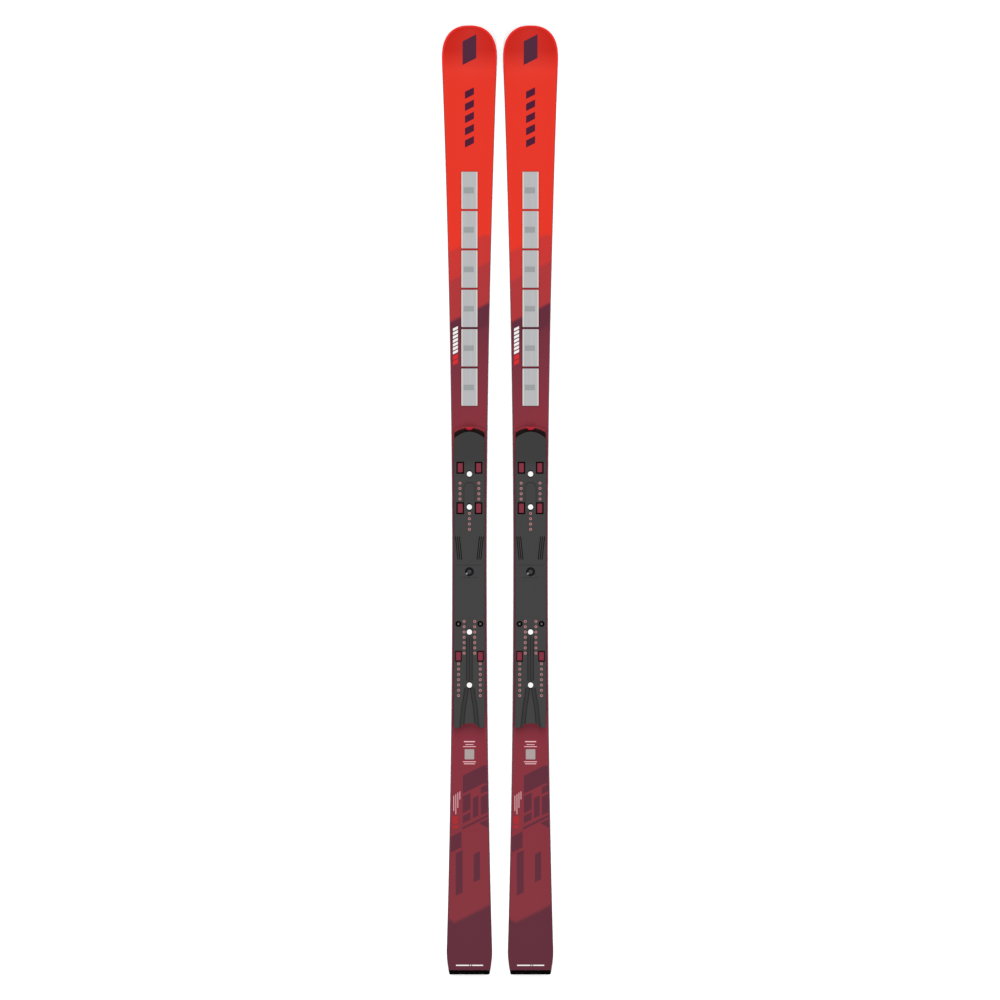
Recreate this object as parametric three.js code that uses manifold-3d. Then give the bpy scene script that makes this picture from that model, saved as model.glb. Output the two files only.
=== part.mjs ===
// A pair of giant-slalom race skis with floating binding plates, lying side by side on their bases.
// Millimetres. +X to the right across the pair, +Y towards the tips, +Z up.
// The origin is on the ground, midway between the skis and midway along them.
import * as THREE from "three";
import { mergeVertices } from "three/addons/utils/BufferGeometryUtils.js";
import Module from "manifold-3d";

const wasm = await Module();
wasm.setup();

// ---------------------------------------------------------------- driving dimensions

const SKI_LENGTH = 1792; // seen from above, tip to tail
const PAIR_SPACING = 115.5; // centreline to centreline
const SHOVEL_WIDTH = 104.3;
const WAIST_WIDTH = 65.2;
const TAIL_WIDTH = 86.3;
const SHOVEL_Y = 835; // where the shovel is widest
const WAIST_Y = -104; // where the ski is narrowest
const TAIL_Y = -856; // where the tail is widest
const TAIL_END_WIDTH = 75.8;
const FRONT_SIDECUT_POWER = 1.8;
const REAR_SIDECUT_POWER = 2.05;
const TAIL_TAPER_POWER = 1.5;
const TIP_ROUNDNESS = 2.42; // exponent of the tip's superellipse
const TIP_ANGLES = [15, 30, 42, 53, 63, 72, 80, 86]; // degrees round the tip, short of its point

const CAMBER = 3.5;
const FRONT_CONTACT = [715, 740]; // flat stretch that rests on the ground
const TAIL_CONTACT = [-838, -813];
const TIP_RISE = 46;
const TIP_RISE_POWER = 2.2;
const TAIL_RISE = 5;
const TAIL_RISE_POWER = 1.8;

const WAIST_THICKNESS = 17;
const TIP_THICKNESS = 5.5;
const TAIL_THICKNESS = 6.5;
const THICK_ZONE = [-400, 110];
const TAPER_POWER = 1.15;

const GLUE_LINE = 0.12; // between bonded layers
const FIT_GAP = 0.3; // between parts that are only screwed together
const BASE_THICKNESS = 1.4;
const EDGE_SIZE = 2;
const EDGE_FLANGE = 0.5;
const EDGE_FLANGE_WIDTH = 4;
const LAMINATE = 0.7; // each of the two metal sheets
const TOPSHEET = 0.8;
const TOPSHEET_BEVEL = 0.5;
const SIDEWALL_WIDTH = 8;
const SIDEWALL_SLOPE = 1.5; // how far its top leans in from its foot
const CORE_END_HALF_WIDTH = 14; // the core stops where the tip is this narrow
const PROTECTOR_LENGTH = 8.3;

const SEGMENTS = 6;
const SEGMENT_LENGTH = 70.3;
const SEGMENT_PITCH = 74.4;
const SEGMENT_WIDTH = 30;
const SEGMENT_THICKNESS = 1.2;
const SEGMENT_FRONT_Y = 621;
const BED_MARGIN = 1.2; // damper bed beyond the segments, all round
const BED_PROUD = 0.4; // above the topsheet

const PLATE_HALF_WIDTH = 28.7;
const PLATE_FRONT_Y = 129.6;
const PLATE_REAR_Y = -429.4;
const DECK_NOSE_DEPTH = 12.4; // of the arc across the nose
const UNDERLAY_NOSE_DEPTH = 8.2;
const DECK_ARCH_DEPTH = 8.5; // of the curve cut into the rear edge
const CARRIER_ARCH_DEPTH = 5.5;
const ARCH_HALF_WIDTH = 18.5;
const ARCH_POWER = 3; // higher is flatter across the middle
const CARRIER_THICKNESS = 2; // at the highest point of the ski
const UNDERLAY_THICKNESS = 2.5;
const DECK_THICKNESS = 9.5;
const DECK_FLOAT = 1.5; // lengthwise travel of the deck, each way
const RAMP_START_Y = 75; // the deck slopes down from here to its nose
const RAMP_DROP = 3;
const UNDERLAY_REACH = 6.6; // in front of the deck
const CARRIER_REACH = 12; // in front of the deck
const TAB_REACH = 7; // in front of the deck
const TAB_HALF_WIDTHS = [3.5, 9]; // at its rear and at its front
const BLOCK_DROP = 2; // guide blocks end this far below the deck's top
const BLOCK_CLEARANCE = 0.5; // beside a guide block, beyond which only the window's length gives float

const SCREW_YS = [49.8, -12.6, -248.5, -348.7];
const CAP_RADIUS = 5.2;
const CAP_HEIGHT = 3.6;
const SCREW_SHANK = 2.6;
const SCREW_DEPTH = 11; // below the topsheet
const FLEX_Y = -134.7;
const DIAL_RADIUS = 8.2;
const HUB_RADIUS = 3.8;
const DIAL_HEIGHT = 3.4;
const DOT_RADIUS = 1.8;
const INDEX_ANGLE = 210; // degrees, where the dial's index dot stands
const GUIDE_SCREW = { x: 20.8, y: -233.2, radius: 2.4, bushing: 5.4, height: 4, shank: 1.6 };

const BINDING_HOLE = 2.05; // radius of the holes the binding's screws go into
const HOLE_PITCH = 10;

// Guide-block windows: centre, size of the window, size of the block in it.
const WINDOWS = [
  { x: 17.3, y: 61.6, width: 14.6, length: 22.8, block: [9.4, 17.6] },
  { x: 17.3, y: -14.8, width: 14.6, length: 22.8, block: [9.4, 17.6] },
  { x: 20.7, y: -294.2, width: 12.6, length: 20.6, block: [9.4, 16.4] },
];
// Rows of binding holes: offset from the centreline, middle of the row, number of holes.
const HOLE_ROWS = [
  { x: 17.8, y: 17.5, count: 4 },
  { x: 0, y: -39.7, count: 4 },
  { x: 10, y: -258.5, count: 7 },
  { x: 20.5, y: -338.5, count: 7 },
];

// ---------------------------------------------------------------- materials

const finish = (color, roughness, metalness = 0) =>
  new THREE.MeshStandardMaterial({ color, roughness, metalness });
const MATERIALS = {
  base: finish(0x141416, 0.5),
  steel: finish(0xb8bcc0, 0.3, 1),
  aluminium: finish(0xa8abb0, 0.35, 1),
  wood: finish(0xc09a62, 0.7),
  sidewall: finish(0x1b1b1d, 0.5),
  topsheet: finish(0xb8303a, 0.3),
  black: finish(0x101011, 0.5),
  rubber: finish(0x5a1a20, 0.8),
  brushed: finish(0xbabbbe, 0.35, 0.9),
  carrier: finish(0x8d2a38, 0.45),
  underlay: finish(0x0e0e0f, 0.8),
  deck: finish(0x434444, 0.5),
  white: finish(0xf4f4f4, 0.4),
};

// ---------------------------------------------------------------- the ski's form

const lerp = THREE.MathUtils.lerp;
const radians = THREE.MathUtils.degToRad;
const TIP_LENGTH =
  (SKI_LENGTH / 2 - SHOVEL_Y) / Math.sin(radians(TIP_ANGLES.at(-1))) + GLUE_LINE;
const BODY_END = -SKI_LENGTH / 2 + PROTECTOR_LENGTH;

// Half the ski's width at y, drawn in by inset all round its outline.
function halfWidth(y, inset = 0) {
  const waist = WAIST_WIDTH / 2;
  if (y > SHOVEL_Y) {
    const along = Math.min((y - SHOVEL_Y) / (TIP_LENGTH - inset), 1);
    const round = (1 - along ** TIP_ROUNDNESS) ** (1 / TIP_ROUNDNESS);
    return (SHOVEL_WIDTH / 2 - inset) * round;
  }
  if (y > WAIST_Y) {
    const along = (y - WAIST_Y) / (SHOVEL_Y - WAIST_Y);
    return lerp(waist, SHOVEL_WIDTH / 2, along ** FRONT_SIDECUT_POWER) - inset;
  }
  if (y > TAIL_Y) {
    const along = (WAIST_Y - y) / (WAIST_Y - TAIL_Y);
    return lerp(waist, TAIL_WIDTH / 2, along ** REAR_SIDECUT_POWER) - inset;
  }
  const along = (TAIL_Y - y) / (TAIL_Y + SKI_LENGTH / 2);
  return lerp(TAIL_WIDTH / 2, TAIL_END_WIDTH / 2, along ** TAIL_TAPER_POWER) - inset;
}

// Height of the running surface above the ground at y.
function soleHeight(y) {
  if (y > FRONT_CONTACT[1]) {
    const along = (y - FRONT_CONTACT[1]) / (SKI_LENGTH / 2 - FRONT_CONTACT[1]);
    return TIP_RISE * along ** TIP_RISE_POWER;
  }
  if (y < TAIL_CONTACT[0]) {
    const along = (TAIL_CONTACT[0] - y) / (TAIL_CONTACT[0] + SKI_LENGTH / 2);
    return TAIL_RISE * along ** TAIL_RISE_POWER;
  }
  if (y > FRONT_CONTACT[0] || y < TAIL_CONTACT[1]) return 0;
  const along = (y - TAIL_CONTACT[1]) / (FRONT_CONTACT[0] - TAIL_CONTACT[1]);
  return (CAMBER * (1 - Math.cos(2 * Math.PI * along))) / 2;
}

function thickness(y) {
  const [rear, front] = THICK_ZONE;
  if (y > front) {
    const left = 1 - (y - front) / (SKI_LENGTH / 2 - front);
    return TIP_THICKNESS + (WAIST_THICKNESS - TIP_THICKNESS) * left ** TAPER_POWER;
  }
  if (y < rear) {
    const left = 1 - (rear - y) / (rear + SKI_LENGTH / 2);
    return TAIL_THICKNESS + (WAIST_THICKNESS - TAIL_THICKNESS) * left ** TAPER_POWER;
  }
  return WAIST_THICKNESS;
}

const topHeight = (y) => soleHeight(y) + thickness(y);

const BODY_STATIONS = [
  BODY_END, -871, TAIL_Y, ...TAIL_CONTACT, -720, -600, -480, -400, -270, -130, 0, 110,
  220, 330, 440, 550, 640, ...FRONT_CONTACT, 765, 788, 812, SHOVEL_Y,
];

// Stations from the tail to the tip of an outline that is drawn in by inset.
function stations(inset = 0) {
  const round = TIP_ANGLES.map(
    (angle) => SHOVEL_Y + (TIP_LENGTH - inset) * Math.sin(radians(angle)),
  );
  return [...BODY_STATIONS, ...round];
}

// ---------------------------------------------------------------- solid-making helpers

// A closed solid through one cross-section per station. Each section is a list of [x, z],
// counter-clockwise with x to the right and z up.
function loft(ys, sectionAt) {
  const sections = ys.map(sectionAt);
  const corners = sections[0].length;
  const positions = sections.flatMap((section, i) => section.flatMap(([x, z]) => [x, ys[i], z]));
  const contour = sections[0].map(([x, z]) => new THREE.Vector2(x, z));
  const cap = THREE.ShapeUtils.triangulateShape(contour, []);
  const last = (ys.length - 1) * corners;
  const index = cap.flatMap(([a, b, c]) => [a, b, c, last + c, last + b, last + a]);
  for (let i = 0; i < ys.length - 1; i++) {
    for (let j = 0; j < corners; j++) {
      const a = i * corners + j;
      const b = i * corners + ((j + 1) % corners);
      index.push(a, b + corners, b, a, a + corners, b + corners);
    }
  }
  const geometry = new THREE.BufferGeometry();
  geometry.setAttribute("position", new THREE.Float32BufferAttribute(positions, 3));
  geometry.setIndex(index);
  return geometry;
}

function toManifold(geometry) {
  const bare = geometry.clone();
  bare.deleteAttribute("normal");
  bare.deleteAttribute("uv");
  const merged = mergeVertices(bare, 1e-4);
  return new wasm.Manifold(
    new wasm.Mesh({
      numProp: 3,
      vertProperties: merged.attributes.position.array,
      triVerts: new Uint32Array(merged.index.array),
    }),
  );
}

function toGeometry(manifold) {
  const mesh = manifold.getMesh();
  const geometry = new THREE.BufferGeometry();
  geometry.setAttribute("position", new THREE.BufferAttribute(mesh.vertProperties, 3));
  geometry.setIndex(new THREE.BufferAttribute(mesh.triVerts, 1));
  return geometry;
}

const cut = (geometry, cutters) =>
  toGeometry(cutters.reduce((body, tool) => body.subtract(toManifold(tool)), toManifold(geometry)));

const join = (geometry, others) =>
  toGeometry(others.reduce((body, other) => body.add(toManifold(other)), toManifold(geometry)));

// A plan shape, extruded from one height to another.
function slab(shape, bottom, top, curveSegments = 12) {
  const depth = top - bottom;
  const options = { depth, bevelEnabled: false, curveSegments };
  return new THREE.ExtrudeGeometry(shape, options).translate(0, 0, bottom);
}

function polygon(points) {
  return new THREE.Shape(points.map(([x, y]) => new THREE.Vector2(x, y)));
}

function rectangle(x, y, width, length) {
  const w = width / 2;
  const l = length / 2;
  return polygon([[x - w, y - l], [x + w, y - l], [x + w, y + l], [x - w, y + l]]);
}

// A round or, with a stretch, an oblong outline along y. Its flat sides lie on the circle.
function oblong(x, y, radius, stretch = 0, sides = 12) {
  const reach = radius / Math.cos(Math.PI / sides);
  const points = [];
  for (let i = 0; i < sides; i++) {
    const angle = ((i + 0.5) / sides) * 2 * Math.PI;
    const shift = Math.sin(angle) > 0 ? stretch : -stretch;
    points.push([x + reach * Math.cos(angle), y + reach * Math.sin(angle) + shift]);
  }
  return polygon(points);
}

// A solid of revolution about a vertical axis, from a profile of [radius, z] going up.
function turned(profile, x, y, sides = 12) {
  const points = profile.map(([r, z]) => new THREE.Vector2(r, z));
  return new THREE.LatheGeometry(points, sides).rotateX(Math.PI / 2).translate(x, y, 0);
}

const part = (name, geometry, material) => {
  const mesh = new THREE.Mesh(geometry, material);
  mesh.name = name;
  return mesh;
};

// ---------------------------------------------------------------- laminated ski

const LOWER_SHEET_Z = EDGE_SIZE + GLUE_LINE;
const CORE_Z = LOWER_SHEET_Z + LAMINATE + GLUE_LINE;
const CORE_TOP_DROP = TOPSHEET + LAMINATE + 2 * GLUE_LINE; // below the ski's top surface

function runningBase() {
  const inset = EDGE_SIZE + GLUE_LINE;
  const step = EDGE_FLANGE_WIDTH;
  return loft(stations(inset), (y) => {
    const w = halfWidth(y, inset);
    const middle = Math.max(w - step, w / 4);
    const low = soleHeight(y);
    const shoulder = low + BASE_THICKNESS;
    const top = low + EDGE_SIZE - GLUE_LINE;
    return [
      [-w, low], [w, low], [w, shoulder], [middle, shoulder],
      [middle, top], [-middle, top], [-middle, shoulder], [-w, shoulder],
    ];
  });
}

// An L-section edge: a square bar flush with the base, and a flange between base and sheet.
function steelEdge(side) {
  const flangeZ = EDGE_SIZE - EDGE_FLANGE;
  return loft(BODY_STATIONS, (y) => {
    const w = halfWidth(y);
    const low = soleHeight(y);
    const bar = w - EDGE_SIZE;
    const flange = bar - EDGE_FLANGE_WIDTH + GLUE_LINE;
    const section = [
      [w, low], [w, low + EDGE_SIZE], [flange, low + EDGE_SIZE],
      [flange, low + flangeZ], [bar, low + flangeZ], [bar, low],
    ];
    return side > 0 ? section : section.map(([x, z]) => [-x, z]).reverse();
  });
}

function metalSheet(inset, bottomAt) {
  return loft(stations(inset), (y) => {
    const w = halfWidth(y, inset);
    const low = bottomAt(y);
    return [[-w, low], [w, low], [w, low + LAMINATE], [-w, low + LAMINATE]];
  });
}

function sidewall(side) {
  return loft(stations(GLUE_LINE), (y) => {
    const foot = halfWidth(y, GLUE_LINE);
    const head = Math.max(foot - SIDEWALL_SLOPE, foot / 2);
    const inner = Math.max(foot - SIDEWALL_WIDTH, GLUE_LINE);
    const low = soleHeight(y) + CORE_Z;
    const top = topHeight(y) - CORE_TOP_DROP;
    const section = [[inner, low], [foot, low], [head, top], [inner, top]];
    return side > 0 ? section : section.map(([x, z]) => [-x, z]).reverse();
  });
}

function woodCore() {
  const ys = stations(GLUE_LINE).filter((y) => halfWidth(y, GLUE_LINE) > CORE_END_HALF_WIDTH);
  return loft(ys, (y) => {
    const w = halfWidth(y, GLUE_LINE) - SIDEWALL_WIDTH - GLUE_LINE;
    const low = soleHeight(y) + CORE_Z;
    const top = topHeight(y) - CORE_TOP_DROP;
    return [[-w, low], [w, low], [w, top], [-w, top]];
  });
}

function topsheet() {
  const inset = SIDEWALL_SLOPE + GLUE_LINE;
  return loft(stations(inset), (y) => {
    const w = halfWidth(y, inset);
    const bevelled = Math.max(w - TOPSHEET_BEVEL, w / 2);
    const top = topHeight(y);
    const low = top - TOPSHEET;
    const shoulder = top - TOPSHEET_BEVEL;
    return [
      [-w, low], [w, low], [w, shoulder],
      [bevelled, top], [-bevelled, top], [-w, shoulder],
    ];
  });
}

function tailProtector() {
  const ys = [-SKI_LENGTH / 2, BODY_END - FIT_GAP];
  return loft(ys, (y) => {
    const w = halfWidth(y);
    const low = soleHeight(y);
    const top = topHeight(y);
    return [[-w, low], [w, low], [w - SIDEWALL_SLOPE, top], [SIDEWALL_SLOPE - w, top]];
  });
}

const screwTool = (radius, bottom, top) =>
  SCREW_YS.map((y) => slab(oblong(0, y, radius, 0, 8), bottom, top));

function dampers() {
  const bedFront = SEGMENT_FRONT_Y + BED_MARGIN;
  const bedRear = SEGMENT_FRONT_Y - (SEGMENTS - 1) * SEGMENT_PITCH - SEGMENT_LENGTH - BED_MARGIN;
  const bedWidth = SEGMENT_WIDTH / 2 + BED_MARGIN;
  const strip = (ys, w, bottomAbove, topAbove) =>
    loft(ys, (y) => {
      const low = topHeight(y) + bottomAbove;
      const top = topHeight(y) + topAbove;
      return [[-w, low], [w, low], [w, top], [-w, top]];
    });
  const inner = BODY_STATIONS.filter((y) => y > bedRear && y < bedFront);
  const bedYs = [bedRear, ...inner, bedFront];
  const segments = [];
  for (let i = 0; i < SEGMENTS; i++) {
    const front = SEGMENT_FRONT_Y - i * SEGMENT_PITCH;
    const ys = [front - SEGMENT_LENGTH, front];
    const bottom = BED_PROUD + GLUE_LINE;
    segments.push(strip(ys, SEGMENT_WIDTH / 2, bottom, bottom + SEGMENT_THICKNESS));
  }
  const pocketWidth = 2 * (bedWidth + GLUE_LINE);
  const pocketLength = bedFront - bedRear + 2 * GLUE_LINE;
  const pocketShape = rectangle(0, (bedFront + bedRear) / 2, pocketWidth, pocketLength);
  return {
    bed: strip(bedYs, bedWidth, -TOPSHEET, BED_PROUD),
    segments,
    pocket: slab(pocketShape, 0, 2 * WAIST_THICKNESS),
  };
}

// ---------------------------------------------------------------- binding plate

const CARRIER_TOP = CAMBER + WAIST_THICKNESS + GLUE_LINE + CARRIER_THICKNESS;
const UNDERLAY_Z = CARRIER_TOP + FIT_GAP;
const UNDERLAY_TOP = UNDERLAY_Z + UNDERLAY_THICKNESS;
const DECK_Z = UNDERLAY_TOP + FIT_GAP;
const DECK_TOP = DECK_Z + DECK_THICKNESS;

// Plan outline with a round nose and an arched rear edge. reach moves the nose forward, inset draws
// the sides and the rear in. The depths say how far each curve's middle stands ahead of its ends.
function plateOutline(reach, inset, noseDepth, archDepth) {
  const w = PLATE_HALF_WIDTH - inset;
  const nose = PLATE_FRONT_Y + reach;
  const radius = (w * w + noseDepth * noseDepth) / (2 * noseDepth);
  const half = Math.asin(w / radius);
  const rear = PLATE_REAR_Y + inset;
  const up = Math.PI / 2;
  const shape = new THREE.Shape();
  shape.moveTo(ARCH_HALF_WIDTH, rear);
  shape.lineTo(w, rear);
  shape.absarc(0, nose - radius, radius, up - half, up + half, false);
  shape.lineTo(-w, rear);
  for (let along = -1; along < 0.99; along += 0.2) {
    const rise = archDepth * (1 - Math.abs(along) ** ARCH_POWER);
    shape.lineTo(along * ARCH_HALF_WIDTH, rear + rise);
  }
  return shape;
}

const bothSides = (feature) => (feature.x === 0 ? [feature] : [feature, { ...feature, x: -feature.x }]);

// The nose tab's plan: a wedge that widens forwards. clearance makes room all round it.
function noseWedge(clearance) {
  const [narrow, wide] = TAB_HALF_WIDTHS.map((half) => half + 1.5 * clearance);
  const rear = PLATE_FRONT_Y + DECK_FLOAT + 0.5 - clearance;
  const front = PLATE_FRONT_Y + TAB_REACH + clearance;
  return polygon([[-narrow, rear], [narrow, rear], [wide, front], [-wide, front]]);
}

// The red carrier: bonded to the ski, with six guide blocks and the nose tab.
function plateCarrier() {
  const outline = plateOutline(CARRIER_REACH, 0.6, UNDERLAY_NOSE_DEPTH, CARRIER_ARCH_DEPTH);
  const flat = slab(outline, CARRIER_TOP - 8, CARRIER_TOP);
  const [rear, front] = [PLATE_REAR_Y - 5, PLATE_FRONT_Y + CARRIER_REACH + 5];
  const inner = BODY_STATIONS.filter((y) => y > rear && y < front);
  const skiTop = loft([rear, ...inner, front], (y) => {
    const w = WAIST_WIDTH;
    const top = topHeight(y) + GLUE_LINE;
    return [[-w, 0], [w, 0], [w, top], [-w, top]];
  });
  const blocks = WINDOWS.flatMap(bothSides).map(({ x, y, block }) =>
    slab(rectangle(x, y, ...block), CARRIER_TOP - 1, DECK_TOP - BLOCK_DROP),
  );
  const raised = slab(noseWedge(0), CARRIER_TOP - 1, DECK_TOP - RAMP_DROP - 3);
  const holes = screwTool(SCREW_SHANK + FIT_GAP, 0, DECK_TOP);
  return cut(join(flat, [...blocks, raised]), [skiTop, ...holes]);
}

// The black rubber layer between carrier and deck, with room for the blocks and the nose tab.
function plateUnderlay() {
  const gap = 2 * BLOCK_CLEARANCE;
  const openings = [
    ...WINDOWS.flatMap(bothSides).map(({ x, y, block }) =>
      rectangle(x, y, block[0] + gap, block[1] + gap)),
    ...SCREW_YS.map((y) => oblong(0, y, SCREW_SHANK + FIT_GAP, 0, 8)),
    oblong(0, FLEX_Y, SCREW_SHANK + FIT_GAP, DECK_FLOAT + FIT_GAP, 8),
    noseWedge(0.8),
  ];
  const outline = plateOutline(UNDERLAY_REACH, 0.3, UNDERLAY_NOSE_DEPTH, DECK_ARCH_DEPTH);
  const layer = slab(outline, UNDERLAY_Z, UNDERLAY_TOP);
  return cut(layer, openings.map((opening) => slab(opening, CARRIER_TOP, DECK_TOP)));
}

// A groove in the deck along a line through the points given.
function groove(line, width, depth) {
  const left = [];
  const right = [];
  line.forEach(([x, y], i) => {
    const [ax, ay] = line[Math.max(i - 1, 0)];
    const [bx, by] = line[Math.min(i + 1, line.length - 1)];
    const across = new THREE.Vector2(ay - by, bx - ax).setLength(width / 2);
    left.push([x + across.x, y + across.y]);
    right.unshift([x - across.x, y - across.y]);
  });
  return slab(polygon([...left, ...right]), DECK_TOP - depth, DECK_TOP + 1);
}

// Three slanting slits a side, a bowed outline round the toe's screw holes, three channels at
// the heel, and two splayed grooves that run out through the rear edge.
function deckGrooves() {
  const tools = [];
  for (const side of [-1, 1]) {
    for (let i = 0; i < 3; i++) {
      const front = [side * (19 + 3.7 * i), -68];
      const rear = [side * (14.3 + 3.6 * i), -112];
      tools.push(groove([front, rear], 1.8, DECK_THICKNESS + 1));
    }
    const splay = [[5.2, -354], [7.4, -371], [10.6, -388], [15, -432]];
    tools.push(groove(splay.map(([x, y]) => [side * x, y]), 7, 1.6));
  }
  for (const x of [-5, 0, 5]) tools.push(groove([[x, -258], [x, -340]], 1.4, 1.4));
  const bow = [[10.5, -4], [10.5, 22], [9.3, 29], [6, 33], [0, 33.7]];
  const mirrored = bow.slice(0, -1).reverse().map(([x, y]) => [-x, y]);
  tools.push(groove([...bow, ...mirrored], 1, 1.2));
  return tools;
}

function rampTool() {
  const beyond = PLATE_FRONT_Y + 5;
  const slope = RAMP_DROP / (PLATE_FRONT_Y - RAMP_START_Y);
  const side = polygon([
    [RAMP_START_Y, DECK_TOP],
    [beyond, DECK_TOP - slope * (beyond - RAMP_START_Y)],
    [beyond, DECK_TOP + 5],
    [RAMP_START_Y, DECK_TOP + 5],
  ]);
  const width = 4 * PLATE_HALF_WIDTH;
  // The profile is drawn as (y, z) and extruded, then turned so that its depth runs along x.
  const wedge = new THREE.ExtrudeGeometry(side, { depth: width, bevelEnabled: false });
  const turn = new THREE.Matrix4().makeBasis(
    new THREE.Vector3(0, 1, 0), new THREE.Vector3(0, 0, 1), new THREE.Vector3(1, 0, 0),
  );
  return wedge.applyMatrix4(turn).translate(-width / 2, 0, 0);
}

function plateDeck() {
  const stretch = DECK_FLOAT + FIT_GAP;
  const { x, y: guideY, bushing, height, shank } = GUIDE_SCREW;
  const bindingHoles = HOLE_ROWS.flatMap(bothSides).flatMap(({ x, y, count }) =>
    Array.from({ length: count }, (_, i) =>
      oblong(x, y + (i - (count - 1) / 2) * HOLE_PITCH, BINDING_HOLE, 0, 8)));
  const through = [
    ...bindingHoles,
    ...WINDOWS.flatMap(bothSides).map(({ x, y, width, length }) => rectangle(x, y, width, length)),
    ...SCREW_YS.map((y) => oblong(0, y, SCREW_SHANK + FIT_GAP, stretch, 8)),
    oblong(0, FLEX_Y, SCREW_SHANK + FIT_GAP, 0, 8),
    ...[-x, x].map((offset) => oblong(offset, guideY, shank + FIT_GAP, 0, 8)),
  ];
  const counterbore = (shape, height) =>
    slab(shape, DECK_TOP - height - FIT_GAP, DECK_TOP + 1);
  const counterbores = [
    ...SCREW_YS.map((y) => counterbore(oblong(0, y, CAP_RADIUS + FIT_GAP, stretch), CAP_HEIGHT)),
    counterbore(oblong(0, FLEX_Y, DIAL_RADIUS + FIT_GAP), DIAL_HEIGHT),
    ...[-x, x].map((offset) => counterbore(oblong(offset, guideY, bushing + FIT_GAP), height)),
  ];
  const outline = plateOutline(0, 0, DECK_NOSE_DEPTH, DECK_ARCH_DEPTH);
  return cut(slab(outline, DECK_Z, DECK_TOP), [
    ...through.map((shape) => slab(shape, DECK_Z - 1, DECK_TOP + 1)),
    rampTool(),
    ...deckGrooves(),
    ...counterbores,
  ]);
}

// ---------------------------------------------------------------- fasteners and dial

// A shouldered screw with a white cap, through the deck's slot into the ski's core.
function cappedScrew(y) {
  const foot = topHeight(y) - SCREW_DEPTH;
  const shoulder = DECK_TOP - CAP_HEIGHT;
  const profile = [
    [0, foot], [SCREW_SHANK - 0.8, foot + 1.5], [SCREW_SHANK, foot + 3],
    [SCREW_SHANK, shoulder], [CAP_RADIUS, shoulder],
    [CAP_RADIUS, DECK_TOP - 0.5], [CAP_RADIUS - 0.6, DECK_TOP], [0, DECK_TOP],
  ];
  return turned(profile, 0, y);
}

function guideBushing(side) {
  const { x, y, radius, bushing, height } = GUIDE_SCREW;
  const inner = radius + FIT_GAP;
  const low = DECK_TOP - height;
  const top = DECK_TOP - 0.2;
  return turned([[inner, low], [bushing, low], [bushing, top], [inner, top], [inner, low]], side * x, y);
}

function guideScrew(side) {
  const { x, y, radius, height, shank } = GUIDE_SCREW;
  const foot = DECK_Z + 0.5;
  const head = DECK_TOP - height;
  const top = DECK_TOP - 0.6;
  const profile = [
    [0, foot], [shank, foot + 0.6], [shank, head],
    [radius, head], [radius, top - 0.4], [radius - 0.4, top], [0, top],
  ];
  const socket = slab(oblong(side * x, y, 1.4, 0, 6), top - 2, top + 1);
  return cut(turned(profile, side * x, y), [socket]);
}

// The flex screw: a socket-headed hub in the dial, and a shank down to the carrier.
function flexScrew() {
  const top = DECK_TOP - 0.4;
  const shoulder = DECK_TOP - DIAL_HEIGHT + 0.4;
  const profile = [
    [0, UNDERLAY_Z], [SCREW_SHANK - 0.6, UNDERLAY_Z], [SCREW_SHANK, UNDERLAY_Z + 0.8],
    [SCREW_SHANK, shoulder], [HUB_RADIUS, shoulder],
    [HUB_RADIUS, top - 0.5], [HUB_RADIUS - 0.5, top], [0, top],
  ];
  const socket = slab(oblong(0, FLEX_Y, 2.3, 0, 6), top - 2.2, top + 1);
  return cut(turned(profile, 0, FLEX_Y), [socket]);
}

// The black dial ring round the hub, with its index dot.
function flexDial() {
  const inner = HUB_RADIUS + FIT_GAP;
  const low = DECK_TOP - DIAL_HEIGHT;
  const top = DECK_TOP - 0.3;
  const ring = turned(
    [[inner, low], [DIAL_RADIUS, low], [DIAL_RADIUS, top - 0.6], [DIAL_RADIUS - 0.6, top],
      [inner, top], [inner, low]], 0, FLEX_Y, 20);
  const reach = (inner + DIAL_RADIUS) / 2;
  const angle = radians(INDEX_ANGLE);
  const dot = oblong(reach * Math.cos(angle), FLEX_Y + reach * Math.sin(angle), DOT_RADIUS, 0, 8);
  return join(ring, [slab(dot, low + 1, top + 0.4)]);
}

// ---------------------------------------------------------------- assembly

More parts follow.
